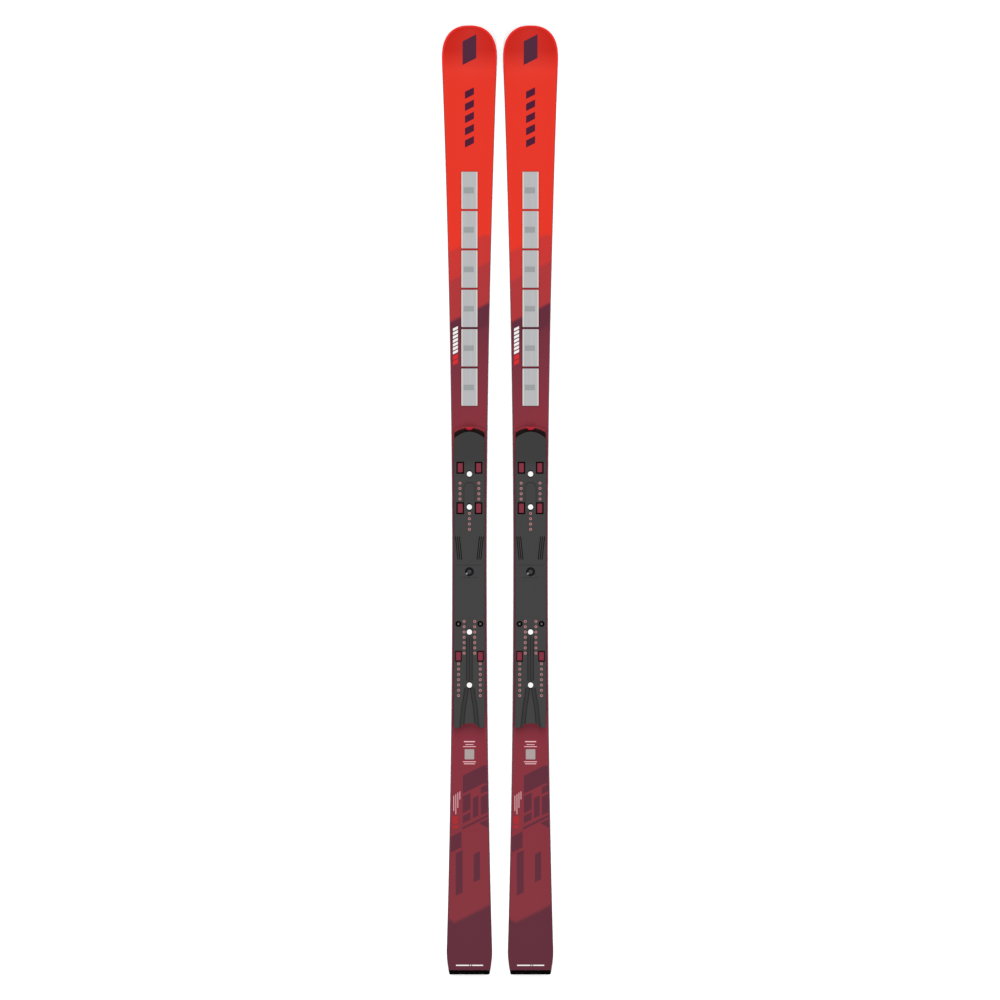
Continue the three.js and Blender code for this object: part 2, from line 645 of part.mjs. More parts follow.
function ski(prefix) {
  const m = MATERIALS;
  const damper = dampers();
  const holes = screwTool(SCREW_SHANK + GLUE_LINE, 0, 2 * WAIST_THICKNESS);
  const blindHoles = SCREW_YS.map((y) =>
    slab(oblong(0, y, SCREW_SHANK + GLUE_LINE, 0, 8), topHeight(y) - SCREW_DEPTH - 1, 2 * WAIST_THICKNESS));
  const upperSheet = (y) => topHeight(y) - TOPSHEET - GLUE_LINE - LAMINATE;
  const pieces = [
    ["running_base", runningBase(), m.base],
    ["edge_left", steelEdge(-1), m.steel],
    ["edge_right", steelEdge(1), m.steel],
    ["lower_laminate", metalSheet(GLUE_LINE, (y) => soleHeight(y) + LOWER_SHEET_Z), m.aluminium],
    ["wood_core", cut(woodCore(), blindHoles), m.wood],
    ["sidewall_left", sidewall(-1), m.sidewall],
    ["sidewall_right", sidewall(1), m.sidewall],
    ["upper_laminate", cut(metalSheet(SIDEWALL_SLOPE + GLUE_LINE, upperSheet), holes), m.aluminium],
    ["topsheet", cut(topsheet(), [damper.pocket, ...holes]), m.topsheet],
    ["tail_protector", tailProtector(), m.black],
    ["damper_bed", damper.bed, m.rubber],
    ...damper.segments.map((g, i) => [`damper_segment_${i + 1}`, g, m.brushed]),
    ["plate_carrier", plateCarrier(), m.carrier],
    ["plate_underlay", plateUnderlay(), m.underlay],
    ["plate_deck", plateDeck(), m.deck],
    ...SCREW_YS.map((y, i) => [`capped_screw_${i + 1}`, cappedScrew(y), m.white]),
    ["guide_screw_left", guideScrew(-1), m.steel],
    ["guide_screw_right", guideScrew(1), m.steel],
    ["guide_bushing_left", guideBushing(-1), m.black],
    ["guide_bushing_right", guideBushing(1), m.black],
    ["flex_screw", flexScrew(), m.steel],
    ["flex_dial", flexDial(), m.black],
  ];
  const group = new THREE.Group();
  for (const [name, geometry, material] of pieces) {
    group.add(part(`${prefix}_${name}`, geometry, material));
  }
  return group;
}

const pair = new THREE.Group();
const leftSki = ski("left");
leftSki.position.x = -PAIR_SPACING / 2;
const rightSki = ski("right");
rightSki.position.x = PAIR_SPACING / 2;
pair.add(leftSki, rightSki);

export default pair;
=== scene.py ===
"""Alpine race skis with binding plates: the looks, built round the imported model.

Lengths are in millimetres until a mesh is made. Each ski is drawn about its own centreline and
then placed, so both skis share every shape and material.
"""

import bisect
import math

import bmesh
import bpy
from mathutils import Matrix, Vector


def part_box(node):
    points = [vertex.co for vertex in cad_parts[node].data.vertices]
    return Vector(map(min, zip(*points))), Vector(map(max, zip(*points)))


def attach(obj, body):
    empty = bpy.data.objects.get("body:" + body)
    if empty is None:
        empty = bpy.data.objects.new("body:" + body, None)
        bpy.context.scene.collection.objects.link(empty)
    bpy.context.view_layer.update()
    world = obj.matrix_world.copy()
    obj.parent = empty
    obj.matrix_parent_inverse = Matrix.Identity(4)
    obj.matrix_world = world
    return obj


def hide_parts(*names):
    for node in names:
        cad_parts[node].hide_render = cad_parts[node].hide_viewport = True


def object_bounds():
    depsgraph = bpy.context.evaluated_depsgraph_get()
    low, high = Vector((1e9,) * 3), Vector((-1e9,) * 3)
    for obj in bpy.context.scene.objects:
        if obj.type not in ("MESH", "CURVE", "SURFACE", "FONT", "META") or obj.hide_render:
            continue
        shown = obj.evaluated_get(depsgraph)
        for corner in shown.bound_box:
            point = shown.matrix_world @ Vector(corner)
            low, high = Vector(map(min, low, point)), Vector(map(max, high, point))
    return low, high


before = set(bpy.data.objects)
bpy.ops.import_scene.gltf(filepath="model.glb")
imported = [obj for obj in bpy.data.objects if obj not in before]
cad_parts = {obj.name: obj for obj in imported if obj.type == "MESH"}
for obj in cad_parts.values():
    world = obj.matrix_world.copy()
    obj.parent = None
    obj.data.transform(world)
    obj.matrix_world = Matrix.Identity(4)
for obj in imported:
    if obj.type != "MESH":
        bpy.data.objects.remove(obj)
cad_box = [list(corner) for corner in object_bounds()]

MM = 0.001
SIDES = ("left", "right")
HANDS = {-1: "left", 1: "right"}  # which side of a ski's own centreline

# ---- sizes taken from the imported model


def box_mm(node):
    low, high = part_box(node)
    return low / MM, high / MM


def centre_x(side):
    low, high = box_mm(f"{side}_wood_core")
    return (low.x + high.x) / 2


DECK_LOW, DECK_HIGH = box_mm("left_plate_deck")
CARRIER_LOW, CARRIER_HIGH = box_mm("left_plate_carrier")
UNDERLAY_LOW, UNDERLAY_HIGH = box_mm("left_plate_underlay")
PROTECTOR_LOW, PROTECTOR_HIGH = box_mm("left_tail_protector")
DECK_TOP = DECK_HIGH.z
DECK_Z = DECK_LOW.z
PLATE_HALF_WIDTH = (DECK_HIGH.x - DECK_LOW.x) / 2
TIP_Y = cad_box[1][1] / MM
TAIL_END_Y = cad_box[0][1] / MM

# ---- the ski's form

SHOVEL_WIDTH, SHOVEL_Y = 104.3, 835
WAIST_WIDTH, WAIST_Y = 65.2, -104
TAIL_WIDTH, TAIL_Y = 86.3, -856
TAIL_END_WIDTH = 75.8
FRONT_SIDECUT_POWER, REAR_SIDECUT_POWER, TAIL_TAPER_POWER = 1.8, 2.05, 1.5
TIP_ROUNDNESS = 2.42
BODY_END = PROTECTOR_HIGH.y + 0.3

CAMBER = 3.5
FRONT_CONTACT = (715, 740)
TAIL_CONTACT = (-838, -813)
TIP_RISE, TIP_RISE_POWER = 46, 2.2
TAIL_RISE, TAIL_RISE_POWER = 5, 1.8
WAIST_THICKNESS, TIP_THICKNESS, TAIL_THICKNESS = 17, 5.5, 6.5
THICK_ZONE = (-400, 110)
TAPER_POWER = 1.15
RAMP_START_Y, RAMP_DROP = 75, 3  # the deck slopes down from here to its nose

GLUE_LINE = 0.12
EDGE_SIZE = 2
LAMINATE = 0.7
TOPSHEET = 0.8
SIDEWALL_INSET = 0.03
SIDEWALL_SLOPE = 1.5
TIP_RIM = 3.6  # the rim round the shovel leans in further than the sidewall does elsewhere
RIM_ZONE = (765, 825)  # where the one becomes the other


def lerp(a, b, t):
    return a + (b - a) * t


def smooth(t):
    t = min(max(t, 0), 1)
    return t * t * (3 - 2 * t)


def half_width(y, inset=0.0):
    """Half the ski's width at y, drawn in by inset all round its outline."""
    if y > SHOVEL_Y:
        along = min((y - SHOVEL_Y) / (TIP_Y - SHOVEL_Y - inset), 1)
        return (SHOVEL_WIDTH / 2 - inset) * (1 - along**TIP_ROUNDNESS) ** (1 / TIP_ROUNDNESS)
    if y > WAIST_Y:
        along = (y - WAIST_Y) / (SHOVEL_Y - WAIST_Y)
        return lerp(WAIST_WIDTH, SHOVEL_WIDTH, along**FRONT_SIDECUT_POWER) / 2 - inset
    if y > TAIL_Y:
        along = (WAIST_Y - y) / (WAIST_Y - TAIL_Y)
        return lerp(WAIST_WIDTH, TAIL_WIDTH, along**REAR_SIDECUT_POWER) / 2 - inset
    along = (TAIL_Y - y) / (TAIL_Y - TAIL_END_Y)
    return lerp(TAIL_WIDTH, TAIL_END_WIDTH, along**TAIL_TAPER_POWER) / 2 - inset


def sole_height(y):
    """Height of the running surface above the ground."""
    if y > FRONT_CONTACT[1]:
        along = (y - FRONT_CONTACT[1]) / (TIP_Y - FRONT_CONTACT[1])
        return TIP_RISE * along**TIP_RISE_POWER
    if y < TAIL_CONTACT[0]:
        along = (TAIL_CONTACT[0] - y) / (TAIL_CONTACT[0] - TAIL_END_Y)
        return TAIL_RISE * along**TAIL_RISE_POWER
    if y > FRONT_CONTACT[0] or y < TAIL_CONTACT[1]:
        return 0.0
    along = (y - TAIL_CONTACT[1]) / (FRONT_CONTACT[0] - TAIL_CONTACT[1])
    return CAMBER * (1 - math.cos(2 * math.pi * along)) / 2


def thickness(y):
    rear, front = THICK_ZONE
    if y > front:
        left = 1 - (y - front) / (TIP_Y - front)
        return TIP_THICKNESS + (WAIST_THICKNESS - TIP_THICKNESS) * max(left, 0) ** TAPER_POWER
    if y < rear:
        left = 1 - (rear - y) / (rear - TAIL_END_Y)
        return TAIL_THICKNESS + (WAIST_THICKNESS - TAIL_THICKNESS) * max(left, 0) ** TAPER_POWER
    return WAIST_THICKNESS


def top_height(y):
    return sole_height(y) + thickness(y)


def rim(y):
    """How far the sidewall's head leans in from its foot."""
    start, end = RIM_ZONE
    return lerp(SIDEWALL_SLOPE, TIP_RIM, smooth((y - start) / (end - start)))


def tip_drop(y):
    """How far the rim rounds down over the last few millimetres of the tip."""
    return 1.5 * max(0, (y - TIP_Y + TIP_RIM) / TIP_RIM) ** 2


def stations(inset, start=None, steps=150, tip_steps=28):
    """Closely spaced stations from the tail to the tip of an outline drawn in by inset."""
    start = BODY_END if start is None else start
    body = [lerp(start, SHOVEL_Y, i / steps) for i in range(steps)]
    reach = TIP_Y - SHOVEL_Y - inset
    last = math.radians(88.5)
    tip = []
    for i in range(tip_steps + 1):
        angle = last * i / tip_steps
        tip.append(SHOVEL_Y + reach * math.sin(angle) ** (2 / TIP_ROUNDNESS))
    return body + tip


# ---- meshes


def object_from(bm, name, smooth_angle=35):
    """Turns a bmesh in millimetres into an object in metres, with smooth shading up to an angle."""
    bmesh.ops.recalc_face_normals(bm, faces=bm.faces)
    bmesh.ops.scale(bm, vec=(MM, MM, MM), verts=bm.verts)
    mesh = bpy.data.meshes.new(name)
    bm.to_mesh(mesh)
    bm.free()
    mesh.shade_smooth()
    mesh.set_sharp_from_angle(angle=math.radians(smooth_angle))
    piece = bpy.data.objects.new(name, mesh)
    bpy.context.scene.collection.objects.link(piece)
    return piece


def add_loft(bm, ys, section_at):
    """A closed solid through one cross-section of (x, z) corners per station."""
    rings = [[bm.verts.new((x, y, z)) for x, z in section_at(y)] for y in ys]
    for near, far in zip(rings, rings[1:]):
        for i in range(len(near)):
            j = (i + 1) % len(near)
            bm.faces.new((near[i], far[i], far[j], near[j]))
    bm.faces.new(rings[0])
    bm.faces.new(rings[-1])


def loft(name, ys, section_at):
    bm = bmesh.new()
    add_loft(bm, ys, section_at)
    return object_from(bm, name)


def add_slab(bm, outline, bottom, top):
    """A plan outline, extruded from one height to another."""
    low = [bm.verts.new((x, y, bottom)) for x, y in outline]
    high = [bm.verts.new((x, y, top)) for x, y in outline]
    bm.faces.new(low)
    bm.faces.new(high)
    for i in range(len(low)):
        j = (i + 1) % len(low)
        bm.faces.new((low[i], low[j], high[j], high[i]))


def add_turned(bm, profile, x, y, sides=40):
    """A solid of revolution about a vertical axis through x, y, from (radius, z) corners."""
    rings = []
    for radius, z in profile:
        if radius < 1e-6:
            rings.append([bm.verts.new((x, y, z))])
            continue
        ring = []
        for i in range(sides):
            angle = 2 * math.pi * i / sides
            ring.append(bm.verts.new((x + radius * math.cos(angle), y + radius * math.sin(angle), z)))
        rings.append(ring)
    closed = profile[0][0] > 1e-6
    pairs = list(zip(rings, rings[1:]))
    if closed:
        pairs.append((rings[-1], rings[0]))
    for a, b in pairs:
        for i in range(sides):
            j = (i + 1) % sides
            corners = [a[i % len(a)], a[j % len(a)], b[j % len(b)], b[i % len(b)]]
            unique = list(dict.fromkeys(corners))
            bm.faces.new(unique)


def rounded(points, radius, steps=5):
    """A plan outline with its corners rounded off."""
    result = []
    count = len(points)
    for i, corner in enumerate(points):
        here = Vector(corner)
        back = Vector(points[i - 1]) - here
        ahead = Vector(points[(i + 1) % count]) - here
        cut = min(radius, back.length / 2, ahead.length / 2)
        a = here + back.normalized() * cut
        b = here + ahead.normalized() * cut
        for k in range(steps + 1):
            t = k / steps
            point = a * (1 - t) ** 2 + here * 2 * t * (1 - t) + b * t * t
            result.append((point.x, point.y))
    return result


def rectangle(x, y, width, length, radius=0.0):
    w, h = width / 2, length / 2
    corners = [(x - w, y - h), (x + w, y - h), (x + w, y + h), (x - w, y + h)]
    return rounded(corners, radius) if radius else corners


def circle(x, y, radius, stretch=0.0, sides=32):
    """A round outline or, with a stretch, an oblong one along y."""
    points = []
    for i in range(sides):
        angle = 2 * math.pi * (i + 0.5) / sides
        shift = stretch if math.sin(angle) > 0 else -stretch
        points.append((x + radius * math.cos(angle), y + radius * math.sin(angle) + shift))
    return points


def ribbon(line, width):
    """The outline of a band of some width along a line of points."""
    left, right = [], []
    for i, (x, y) in enumerate(line):
        ax, ay = line[max(i - 1, 0)]
        bx, by = line[min(i + 1, len(line) - 1)]
        across = Vector((ay - by, bx - ax)).normalized() * (width / 2)
        left.append((x + across.x, y + across.y))
        right.insert(0, (x - across.x, y - across.y))
    return left + right


def carve(piece, cutters, name, bevel=0.0, bevel_angle=40):
    """Cuts slabs, given as (outline, bottom, top), out of a piece and bevels its edges."""
    bm = bmesh.new()
    for outline, bottom, top in cutters:
        add_slab(bm, outline, bottom, top)
    tool = object_from(bm, "tool")
    cut = piece.modifiers.new("cut", "BOOLEAN")
    cut.operation = "DIFFERENCE"
    cut.solver = "EXACT"
    cut.use_self = True
    cut.object = tool
    apply_modifiers(piece)
    bpy.data.objects.remove(tool)
    bm = bmesh.new()
    bm.from_mesh(piece.data)
    bmesh.ops.remove_doubles(bm, verts=bm.verts, dist=1e-7)
    bmesh.ops.dissolve_degenerate(bm, edges=bm.edges, dist=1e-7)
    bmesh.ops.recalc_face_normals(bm, faces=bm.faces)
    bm.to_mesh(piece.data)
    bm.free()
    return bevelled(piece, name, bevel, bevel_angle)


def apply_modifiers(piece):
    depsgraph = bpy.context.evaluated_depsgraph_get()
    mesh = bpy.data.meshes.new_from_object(piece.evaluated_get(depsgraph))
    piece.modifiers.clear()
    piece.data = mesh


def bevelled(piece, name, width=0.0, angle=40):
    """Rounds a piece's edges and evens out the shading of its flat faces."""
    if width:
        edge = piece.modifiers.new("bevel", "BEVEL")
        edge.width = width * MM
        edge.segments = 2
        edge.limit_method = "ANGLE"
        edge.angle_limit = math.radians(angle)
        apply_modifiers(piece)
    piece.data.shade_smooth()
    piece.data.set_sharp_from_angle(angle=math.radians(35))
    even = piece.modifiers.new("even", "WEIGHTED_NORMAL")
    even.keep_sharp = True
    apply_modifiers(piece)
    piece.name = piece.data.name = name
    return piece


# ---- materials


LIGHT_LEVEL = 1.62  # the studio light on the floor goes past the picture's white by this much
HAZE = 0.005  # what the gloss of a surface adds to its colour


def srgb(code):
    """A colour as it looks in the finished picture, written as #rrggbb, as linear RGBA."""
    values = []
    for i in (1, 3, 5):
        value = int(code[i : i + 2], 16) / 255
        linear = value / 12.92 if value <= 0.04045 else ((value + 0.055) / 1.055) ** 2.4
        values.append(max(linear - HAZE, 0) / LIGHT_LEVEL)
    return (*values, 1.0)


class Shader:
    """A small helper that builds one Principled material."""

    def __init__(self, name, color, roughness, metallic=0.0, specular=0.06):
        self.material = bpy.data.materials.new(name)
        self.material.use_nodes = True
        self.tree = self.material.node_tree
        self.bsdf = self.tree.nodes["Principled BSDF"]
        self.color = srgb(color)
        self.bsdf.inputs["Base Color"].default_value = self.color
        self.bsdf.inputs["Roughness"].default_value = roughness
        self.bsdf.inputs["Metallic"].default_value = metallic
        self.bsdf.inputs["Specular IOR Level"].default_value = specular

    def node(self, kind, **settings):
        node = self.tree.nodes.new(kind)
        for key, value in settings.items():
            setattr(node, key, value)
        return node

    def link(self, source, target):
        self.tree.links.new(source, target)

    def position(self):
        return self.node("ShaderNodeTexCoord").outputs["Object"]

    def axes(self):
        split = self.node("ShaderNodeSeparateXYZ")
        self.link(self.position(), split.inputs[0])
        return split.outputs["X"], split.outputs["Y"], split.outputs["Z"]

    def math(self, operation, a, b=0.0):
        node = self.node("ShaderNodeMath", operation=operation)
        for socket, value in zip(node.inputs, (a, b)):
            if isinstance(value, (int, float)):
                socket.default_value = value
            else:
                self.link(value, socket)
        return node.outputs[0]

    def noise(self, scale, stretch=(1, 1, 1), detail=4.0):
        mapping = self.node("ShaderNodeMapping")
        mapping.inputs["Scale"].default_value = stretch
        self.link(self.position(), mapping.inputs["Vector"])
        noise = self.node("ShaderNodeTexNoise")
        noise.inputs["Scale"].default_value = scale
        noise.inputs["Detail"].default_value = detail
        self.link(mapping.outputs["Vector"], noise.inputs["Vector"])
        return noise.outputs["Fac"]

    def spread(self, fac, low, high):
        """Maps a 0 to 1 value to a range."""
        node = self.node("ShaderNodeMapRange")
        node.inputs["To Min"].default_value = low
        node.inputs["To Max"].default_value = high
        self.link(fac, node.inputs["Value"])
        return node.outputs["Result"]

    def vary(self, fac, amount, base=None):
        """Lightens and darkens the base colour with a texture."""
        node = self.node("ShaderNodeMix", data_type="RGBA", blend_type="MULTIPLY")
        node.inputs["Factor"].default_value = 1.0
        if base is None:
            node.inputs["A"].default_value = self.color
        else:
            self.link(base, node.inputs["A"])
        self.link(self.spread(fac, 1 - amount, 1 + amount), node.inputs["B"])
        self.link(node.outputs["Result"], self.bsdf.inputs["Base Color"])

    def roughen(self, fac, low, high):
        self.link(self.spread(fac, low, high), self.bsdf.inputs["Roughness"])

    def bump(self, fac, depth_mm, strength=1.0):
        node = self.node("ShaderNodeBump")
        node.inputs["Strength"].default_value = strength
        node.inputs["Distance"].default_value = depth_mm * MM
        self.link(fac, node.inputs["Height"])
        self.link(node.outputs["Normal"], self.bsdf.inputs["Normal"])


# The print's colour along the ski, by its slanted coordinate in millimetres. Two stops close
# together make a hard boundary.
PRINT_STOPS = [
    (-900, "#65313e"),
    (-783.2, "#65313e"),
    (-782.8, "#883740"),
    (-430, "#8b3541"),
    (-405, "#6c3340"),
    (100, "#70333f"),
    (128, "#8b3540"),
    (150, "#8b3540"),
    (240, "#7f3542"),
    (311.2, "#75323f"),
    (311.8, "#682f3d"),
    (351.8, "#652e3f"),
    (352.2, "#b2393c"),
    (434.6, "#b3393c"),
    (435.0, "#cc3936"),
    (488.2, "#cd3935"),
    (488.6, "#ea392a"),
    (760, "#ea392a"),
    (900, "#ea3a2b"),
]
# The sidewall's colour, straight along the ski.
SIDE_STOPS = [
    (-896, "#5f343e"),
    (-430, "#64394a"),
    (110, "#643942"),
    (227, "#6e3b45"),
    (378, "#914046"),
    (540, "#c04844"),
    (765, "#c04440"),
    (825, "#f2322e"),
    (896, "#f2322e"),
]
PRINT_SLOPE = 0.5
# Beyond this x, a damper segment carries a painted highlight down either side.
HIGHLIGHT_STRIP_X = 13.3
WHITE = (1, 1, 1, 1)
# Painted shade over the upturned shovel: the print's colour is multiplied by this, fading in between
# the two y values, in millimetres.
TIP_SHADE, TIP_SHADE_ZONE = (0.76, 0.3, 0.15, 1), (812, 850)
BED_TINT = (0.8, 0.72, 0.72, 1)
# Painted shade on the deck: how dark it goes below its face, over which depths, and how dark on the
# ramp to its nose.
DECK_DEPTH_SHADE, DECK_SHADE_DEPTHS = 0.35, (0.15, 1.5)
NOSE_SHADE, NOSE_SHADE_ZONE = 0.82, (62, 78)
TAB_FADE = (5.5, 8)  # where the nose tab fades, ahead of the deck
RIM_DEPTH, RIM_FADE = 0.6, 0.3  # where and how fast an insert's rim colour comes in
# The slanted boundaries fold beyond this x and this y at either end, by this slope.
FRONT_FOLD_X, FRONT_FOLD_Y, FRONT_FOLD = 27, 470, 0.66
REAR_FOLD_X, REAR_FOLD_Y, REAR_FOLD = -28, -700, -1.1
SPAN = 1800


def bands(shader, distance, stops):
    """Colours by a distance along the ski."""
    fac = shader.math("MULTIPLY", shader.math("ADD", distance, SPAN / 2 * MM), 1 / (SPAN * MM))
    ramp = shader.node("ShaderNodeValToRGB")
    elements = ramp.color_ramp.elements
    while len(elements) < len(stops):
        elements.new(0.5)
    for element, (at, code) in zip(elements, stops):
        element.position = (at + SPAN / 2) / SPAN
        element.color = srgb(code)
    shader.link(fac, ramp.inputs["Fac"])
    return ramp.outputs["Color"]


def print_color(shader):
    """Colour bands that cross the ski on a slant and fold near one side at either end."""
    x, y, _ = shader.axes()
    slanted = shader.math("SUBTRACT", y, shader.math("MULTIPLY", x, PRINT_SLOPE))
    beyond = shader.math("MAXIMUM", shader.math("SUBTRACT", x, FRONT_FOLD_X * MM), 0)
    here = shader.math("GREATER_THAN", y, FRONT_FOLD_Y * MM)
    fold = shader.math("MULTIPLY", shader.math("MULTIPLY", beyond, here), FRONT_FOLD)
    slanted = shader.math("ADD", slanted, fold)
    beyond = shader.math("MAXIMUM", shader.math("SUBTRACT", REAR_FOLD_X * MM, x), 0)
    here = shader.math("LESS_THAN", y, REAR_FOLD_Y * MM)
    fold = shader.math("MULTIPLY", shader.math("MULTIPLY", beyond, here), REAR_FOLD)
    return bands(shader, shader.math("ADD", slanted, fold), PRINT_STOPS)


def graded(shader, value, start, end, low, high):
    """Goes from low to high as a length goes from start to end, both in millimetres."""
    node = shader.node("ShaderNodeMapRange")
    limits = {"From Min": start * MM, "From Max": end * MM, "To Min": low, "To Max": high}
    for socket, number in limits.items():
        node.inputs[socket].default_value = number
    shader.link(value, node.inputs["Value"])
    return node.outputs["Result"]


def along_ski(shader, start, end, low, high):
    return graded(shader, shader.axes()[1], start, end, low, high)


def mixed(shader, fac, a, b, blend="MIX"):
    """Mixes two colours. Each is a node's output or plain RGBA, and so is fac or a number."""
    node = shader.node("ShaderNodeMix", data_type="RGBA", blend_type=blend)
    for socket, value in (("Factor", fac), ("A", a), ("B", b)):
        if isinstance(value, bpy.types.NodeSocket):
            shader.link(value, node.inputs[socket])
        else:
            node.inputs[socket].default_value = value
    return node.outputs["Result"]


def topsheet_material():
    """The print, with painted shade where the shovel turns up: darker and deeper red towards the tip.
    """
    shader = Shader("printed_topsheet", "#ea3829", 0.34)
    # painted shade where the shovel turns up
    tip_shade = mixed(shader, along_ski(shader, *TIP_SHADE_ZONE, 0, 1), WHITE, TIP_SHADE)
    color = mixed(shader, 1.0, print_color(shader), tip_shade, "MULTIPLY")
    shader.vary(shader.noise(900, detail=2), 0.025, color)
    shader.bump(shader.noise(160, (1, 0.35, 1)), 0.02, 0.4)
    return shader.material


def bed_material():
    shader = Shader("tinted_rubber", "#a03030", 0.55)
    darker = mixed(shader, 1.0, print_color(shader), BED_TINT, "MULTIPLY")
    shader.vary(shader.noise(500), 0.06, darker)
    return shader.material


def plain(name, color, roughness, grain=700, amount=0.08, depth=0.02, **options):
    """A moulded or painted surface with a fine grain in its colour, gloss and relief."""
    shader = Shader(name, color, roughness, **options)
    fac = shader.noise(grain)
    shader.vary(fac, amount)
    shader.roughen(shader.noise(grain / 3), roughness - 0.06, roughness + 0.08)
    shader.bump(fac, depth, 0.5)
    return shader.material


def brushed(name, color, roughness, stretch, metallic=1.0, amount=0.1):
    """Metal with fine lines along one axis."""
    shader = Shader(name, color, roughness, metallic=metallic)
    fac = shader.noise(400, stretch, detail=6)
    shader.vary(fac, amount)
    shader.roughen(fac, roughness - 0.07, roughness + 0.1)
    shader.bump(fac, 0.01, 0.35)
    return shader.material


def wood_material():
    shader = Shader("ash_core", "#b98f5c", 0.7)
    fac = shader.noise(120, (1, 0.04, 1), detail=8)
    shader.vary(fac, 0.25)
    shader.bump(fac, 0.05, 0.5)
    return shader.material


def sidewall_material():
    """Deepens from the shovel back, and is a bright rim round the tip."""
    shader = Shader("sidewall", "#8a3a40", 0.5)
    fac = shader.noise(600, (1, 0.3, 1))
    shader.vary(fac, 0.08, bands(shader, shader.axes()[1], SIDE_STOPS))
    shader.bump(fac, 0.02, 0.4)
    return shader.material


def deck_material():
    """Dark grey, with painted shade: darker below its face, down its grooves and round its edges, and
    on the ramp to its nose.
    """
    shader = Shader("deck_grey", "#444444", 0.5)
    face = along_ski(shader, RAMP_START_Y, DECK_HIGH.y, DECK_TOP * MM, (DECK_TOP - RAMP_DROP) * MM)
    depth = shader.math("SUBTRACT", face, shader.axes()[2])
    shade = graded(shader, depth, *DECK_SHADE_DEPTHS, 1, DECK_DEPTH_SHADE)
    nose = along_ski(shader, *NOSE_SHADE_ZONE, 1, NOSE_SHADE)
    shade = shader.math("MULTIPLY", shade, nose)
    fac = shader.noise(1100)
    shader.vary(fac, 0.06, mixed(shader, 1.0, shader.color, shade, "MULTIPLY"))
    shader.bump(fac, 0.015, 0.5)
    return shader.material


def tab_material():
    """Bright at its narrow end, fading into the carrier forwards."""
    shader = Shader("tab_red", "#c81030", 0.5)
    start, end = (DECK_HIGH.y + ahead for ahead in TAB_FADE)
    fade = along_ski(shader, start, end, 0, 1)
    shader.vary(shader.noise(700), 0.05, mixed(shader, fade, srgb("#c01436"), srgb("#a8363e")))
    return shader.material


def segment_material():
    """Brushed steel with a painted highlight: a pale strip down either side."""
    shader = Shader("brushed_steel", "#bcbcbe", 0.5, metallic=0.25)
    out = shader.math("ABSOLUTE", shader.axes()[0])
    highlight_strip = shader.math("GREATER_THAN", out, HIGHLIGHT_STRIP_X * MM)
    fac = shader.noise(400, (1, 0.012, 1), detail=6)
    # the pale painted highlight down either side
    shader.vary(fac, 0.09, mixed(shader, highlight_strip, shader.color, srgb("#e6e3da")))
    shader.roughen(fac, 0.42, 0.58)
    shader.bump(fac, 0.01, 0.35)
    return shader.material


def insert_material():
    """Pale red rim, dark red down its hole."""
    shader = Shader("insert", "#c08a90", 0.4)
    ramp = shader.node("ShaderNodeValToRGB")
    ramp.color_ramp.elements[0].position = 0.0
    ramp.color_ramp.elements[0].color = srgb("#6a1420")
    ramp.color_ramp.elements[1].position = 1.0
    ramp.color_ramp.elements[1].color = srgb("#c88e90")
    height = shader.math("SUBTRACT", shader.axes()[2], (DECK_TOP - RIM_DEPTH) * MM)
    shader.link(shader.math("MULTIPLY", height, 1 / (RIM_FADE * MM)), ramp.inputs["Fac"])
    shader.vary(shader.noise(900), 0.06, ramp.outputs["Color"])
    return shader.material


MATERIALS = {
    "topsheet": topsheet_material(),
    "bed": bed_material(),
    "base": plain("sintered_base", "#131416", 0.5, 900, 0.15, 0.015),
    "edge": brushed("edge_steel", "#b9bdc2", 0.3, (1, 0.02, 1)),
    "laminate": brushed("laminate_metal", "#9a9da2", 0.4, (1, 0.03, 1)),
    "wood": wood_material(),
    "sidewall": sidewall_material(),
    "black": plain("black_plastic", "#0a0a0b", 0.5, specular=0.02),
    "dial": plain("dial_black", "#202022", 0.5, specular=0.02),
    "segment": segment_material(),
    "window": brushed("etched_steel", "#a2a5a5", 0.58, (1, 0.012, 1), metallic=0.25, amount=0.05),
    "carrier": plain("carrier_red", "#9a3640", 0.5),
    "block": plain("block_red", "#8a3646", 0.5),
    "tab": tab_material(),
    "underlay": plain("underlay_rubber", "#2a2020", 0.8, 900, 0.2, 0.03, specular=0.02),
    "deck": deck_material(),
    "cap": plain("white_cap", "#ffffff", 0.45, 500, 0.01, 0.005),
    "screw": brushed("screw_steel", "#565658", 0.5, (1, 1, 1), metallic=0.3),
    "guide_screw": brushed("guide_screw_steel", "#968088", 0.5, (1, 1, 1), metallic=0.3),
    "insert": insert_material(),
    "print_dark": plain("print_dark", "#64303e", 0.36, 900, 0.03, 0.005),
    "print_plum": plain("print_plum", "#4f1f38", 0.36, 900, 0.03, 0.005),
    "print_white": plain("print_white", "#f6f4f4", 0.4, 900, 0.01, 0.004),
    "print_pink": plain("print_pink", "#f3bfc5", 0.4, 900, 0.02, 0.004),
    "print_red": plain("print_red", "#dc2f2f", 0.38, 900, 0.03, 0.004),
    "print_tail_red": plain("print_tail_red", "#ae2f32", 0.38, 900, 0.03, 0.004),
    "print_label": plain("print_label", "#b0a3a2", 0.4, 900, 0.03, 0.004),
    # The dial's dot: an index dot, whose pale grey is also a painted highlight where the dial's lower
    # left catches the light.
    "dot": plain("index_dot_and_highlight", "#8e8e90", 0.4, 600, 0.04, 0.004),
    "faint_dot": plain("index_mark", "#606062", 0.5, 600, 0.04, 0.004),
}


def paint(piece, material):
    piece.data.materials.clear()
    piece.data.materials.append(MATERIALS[material])
    return piece


# ---- placing a shape on both skis


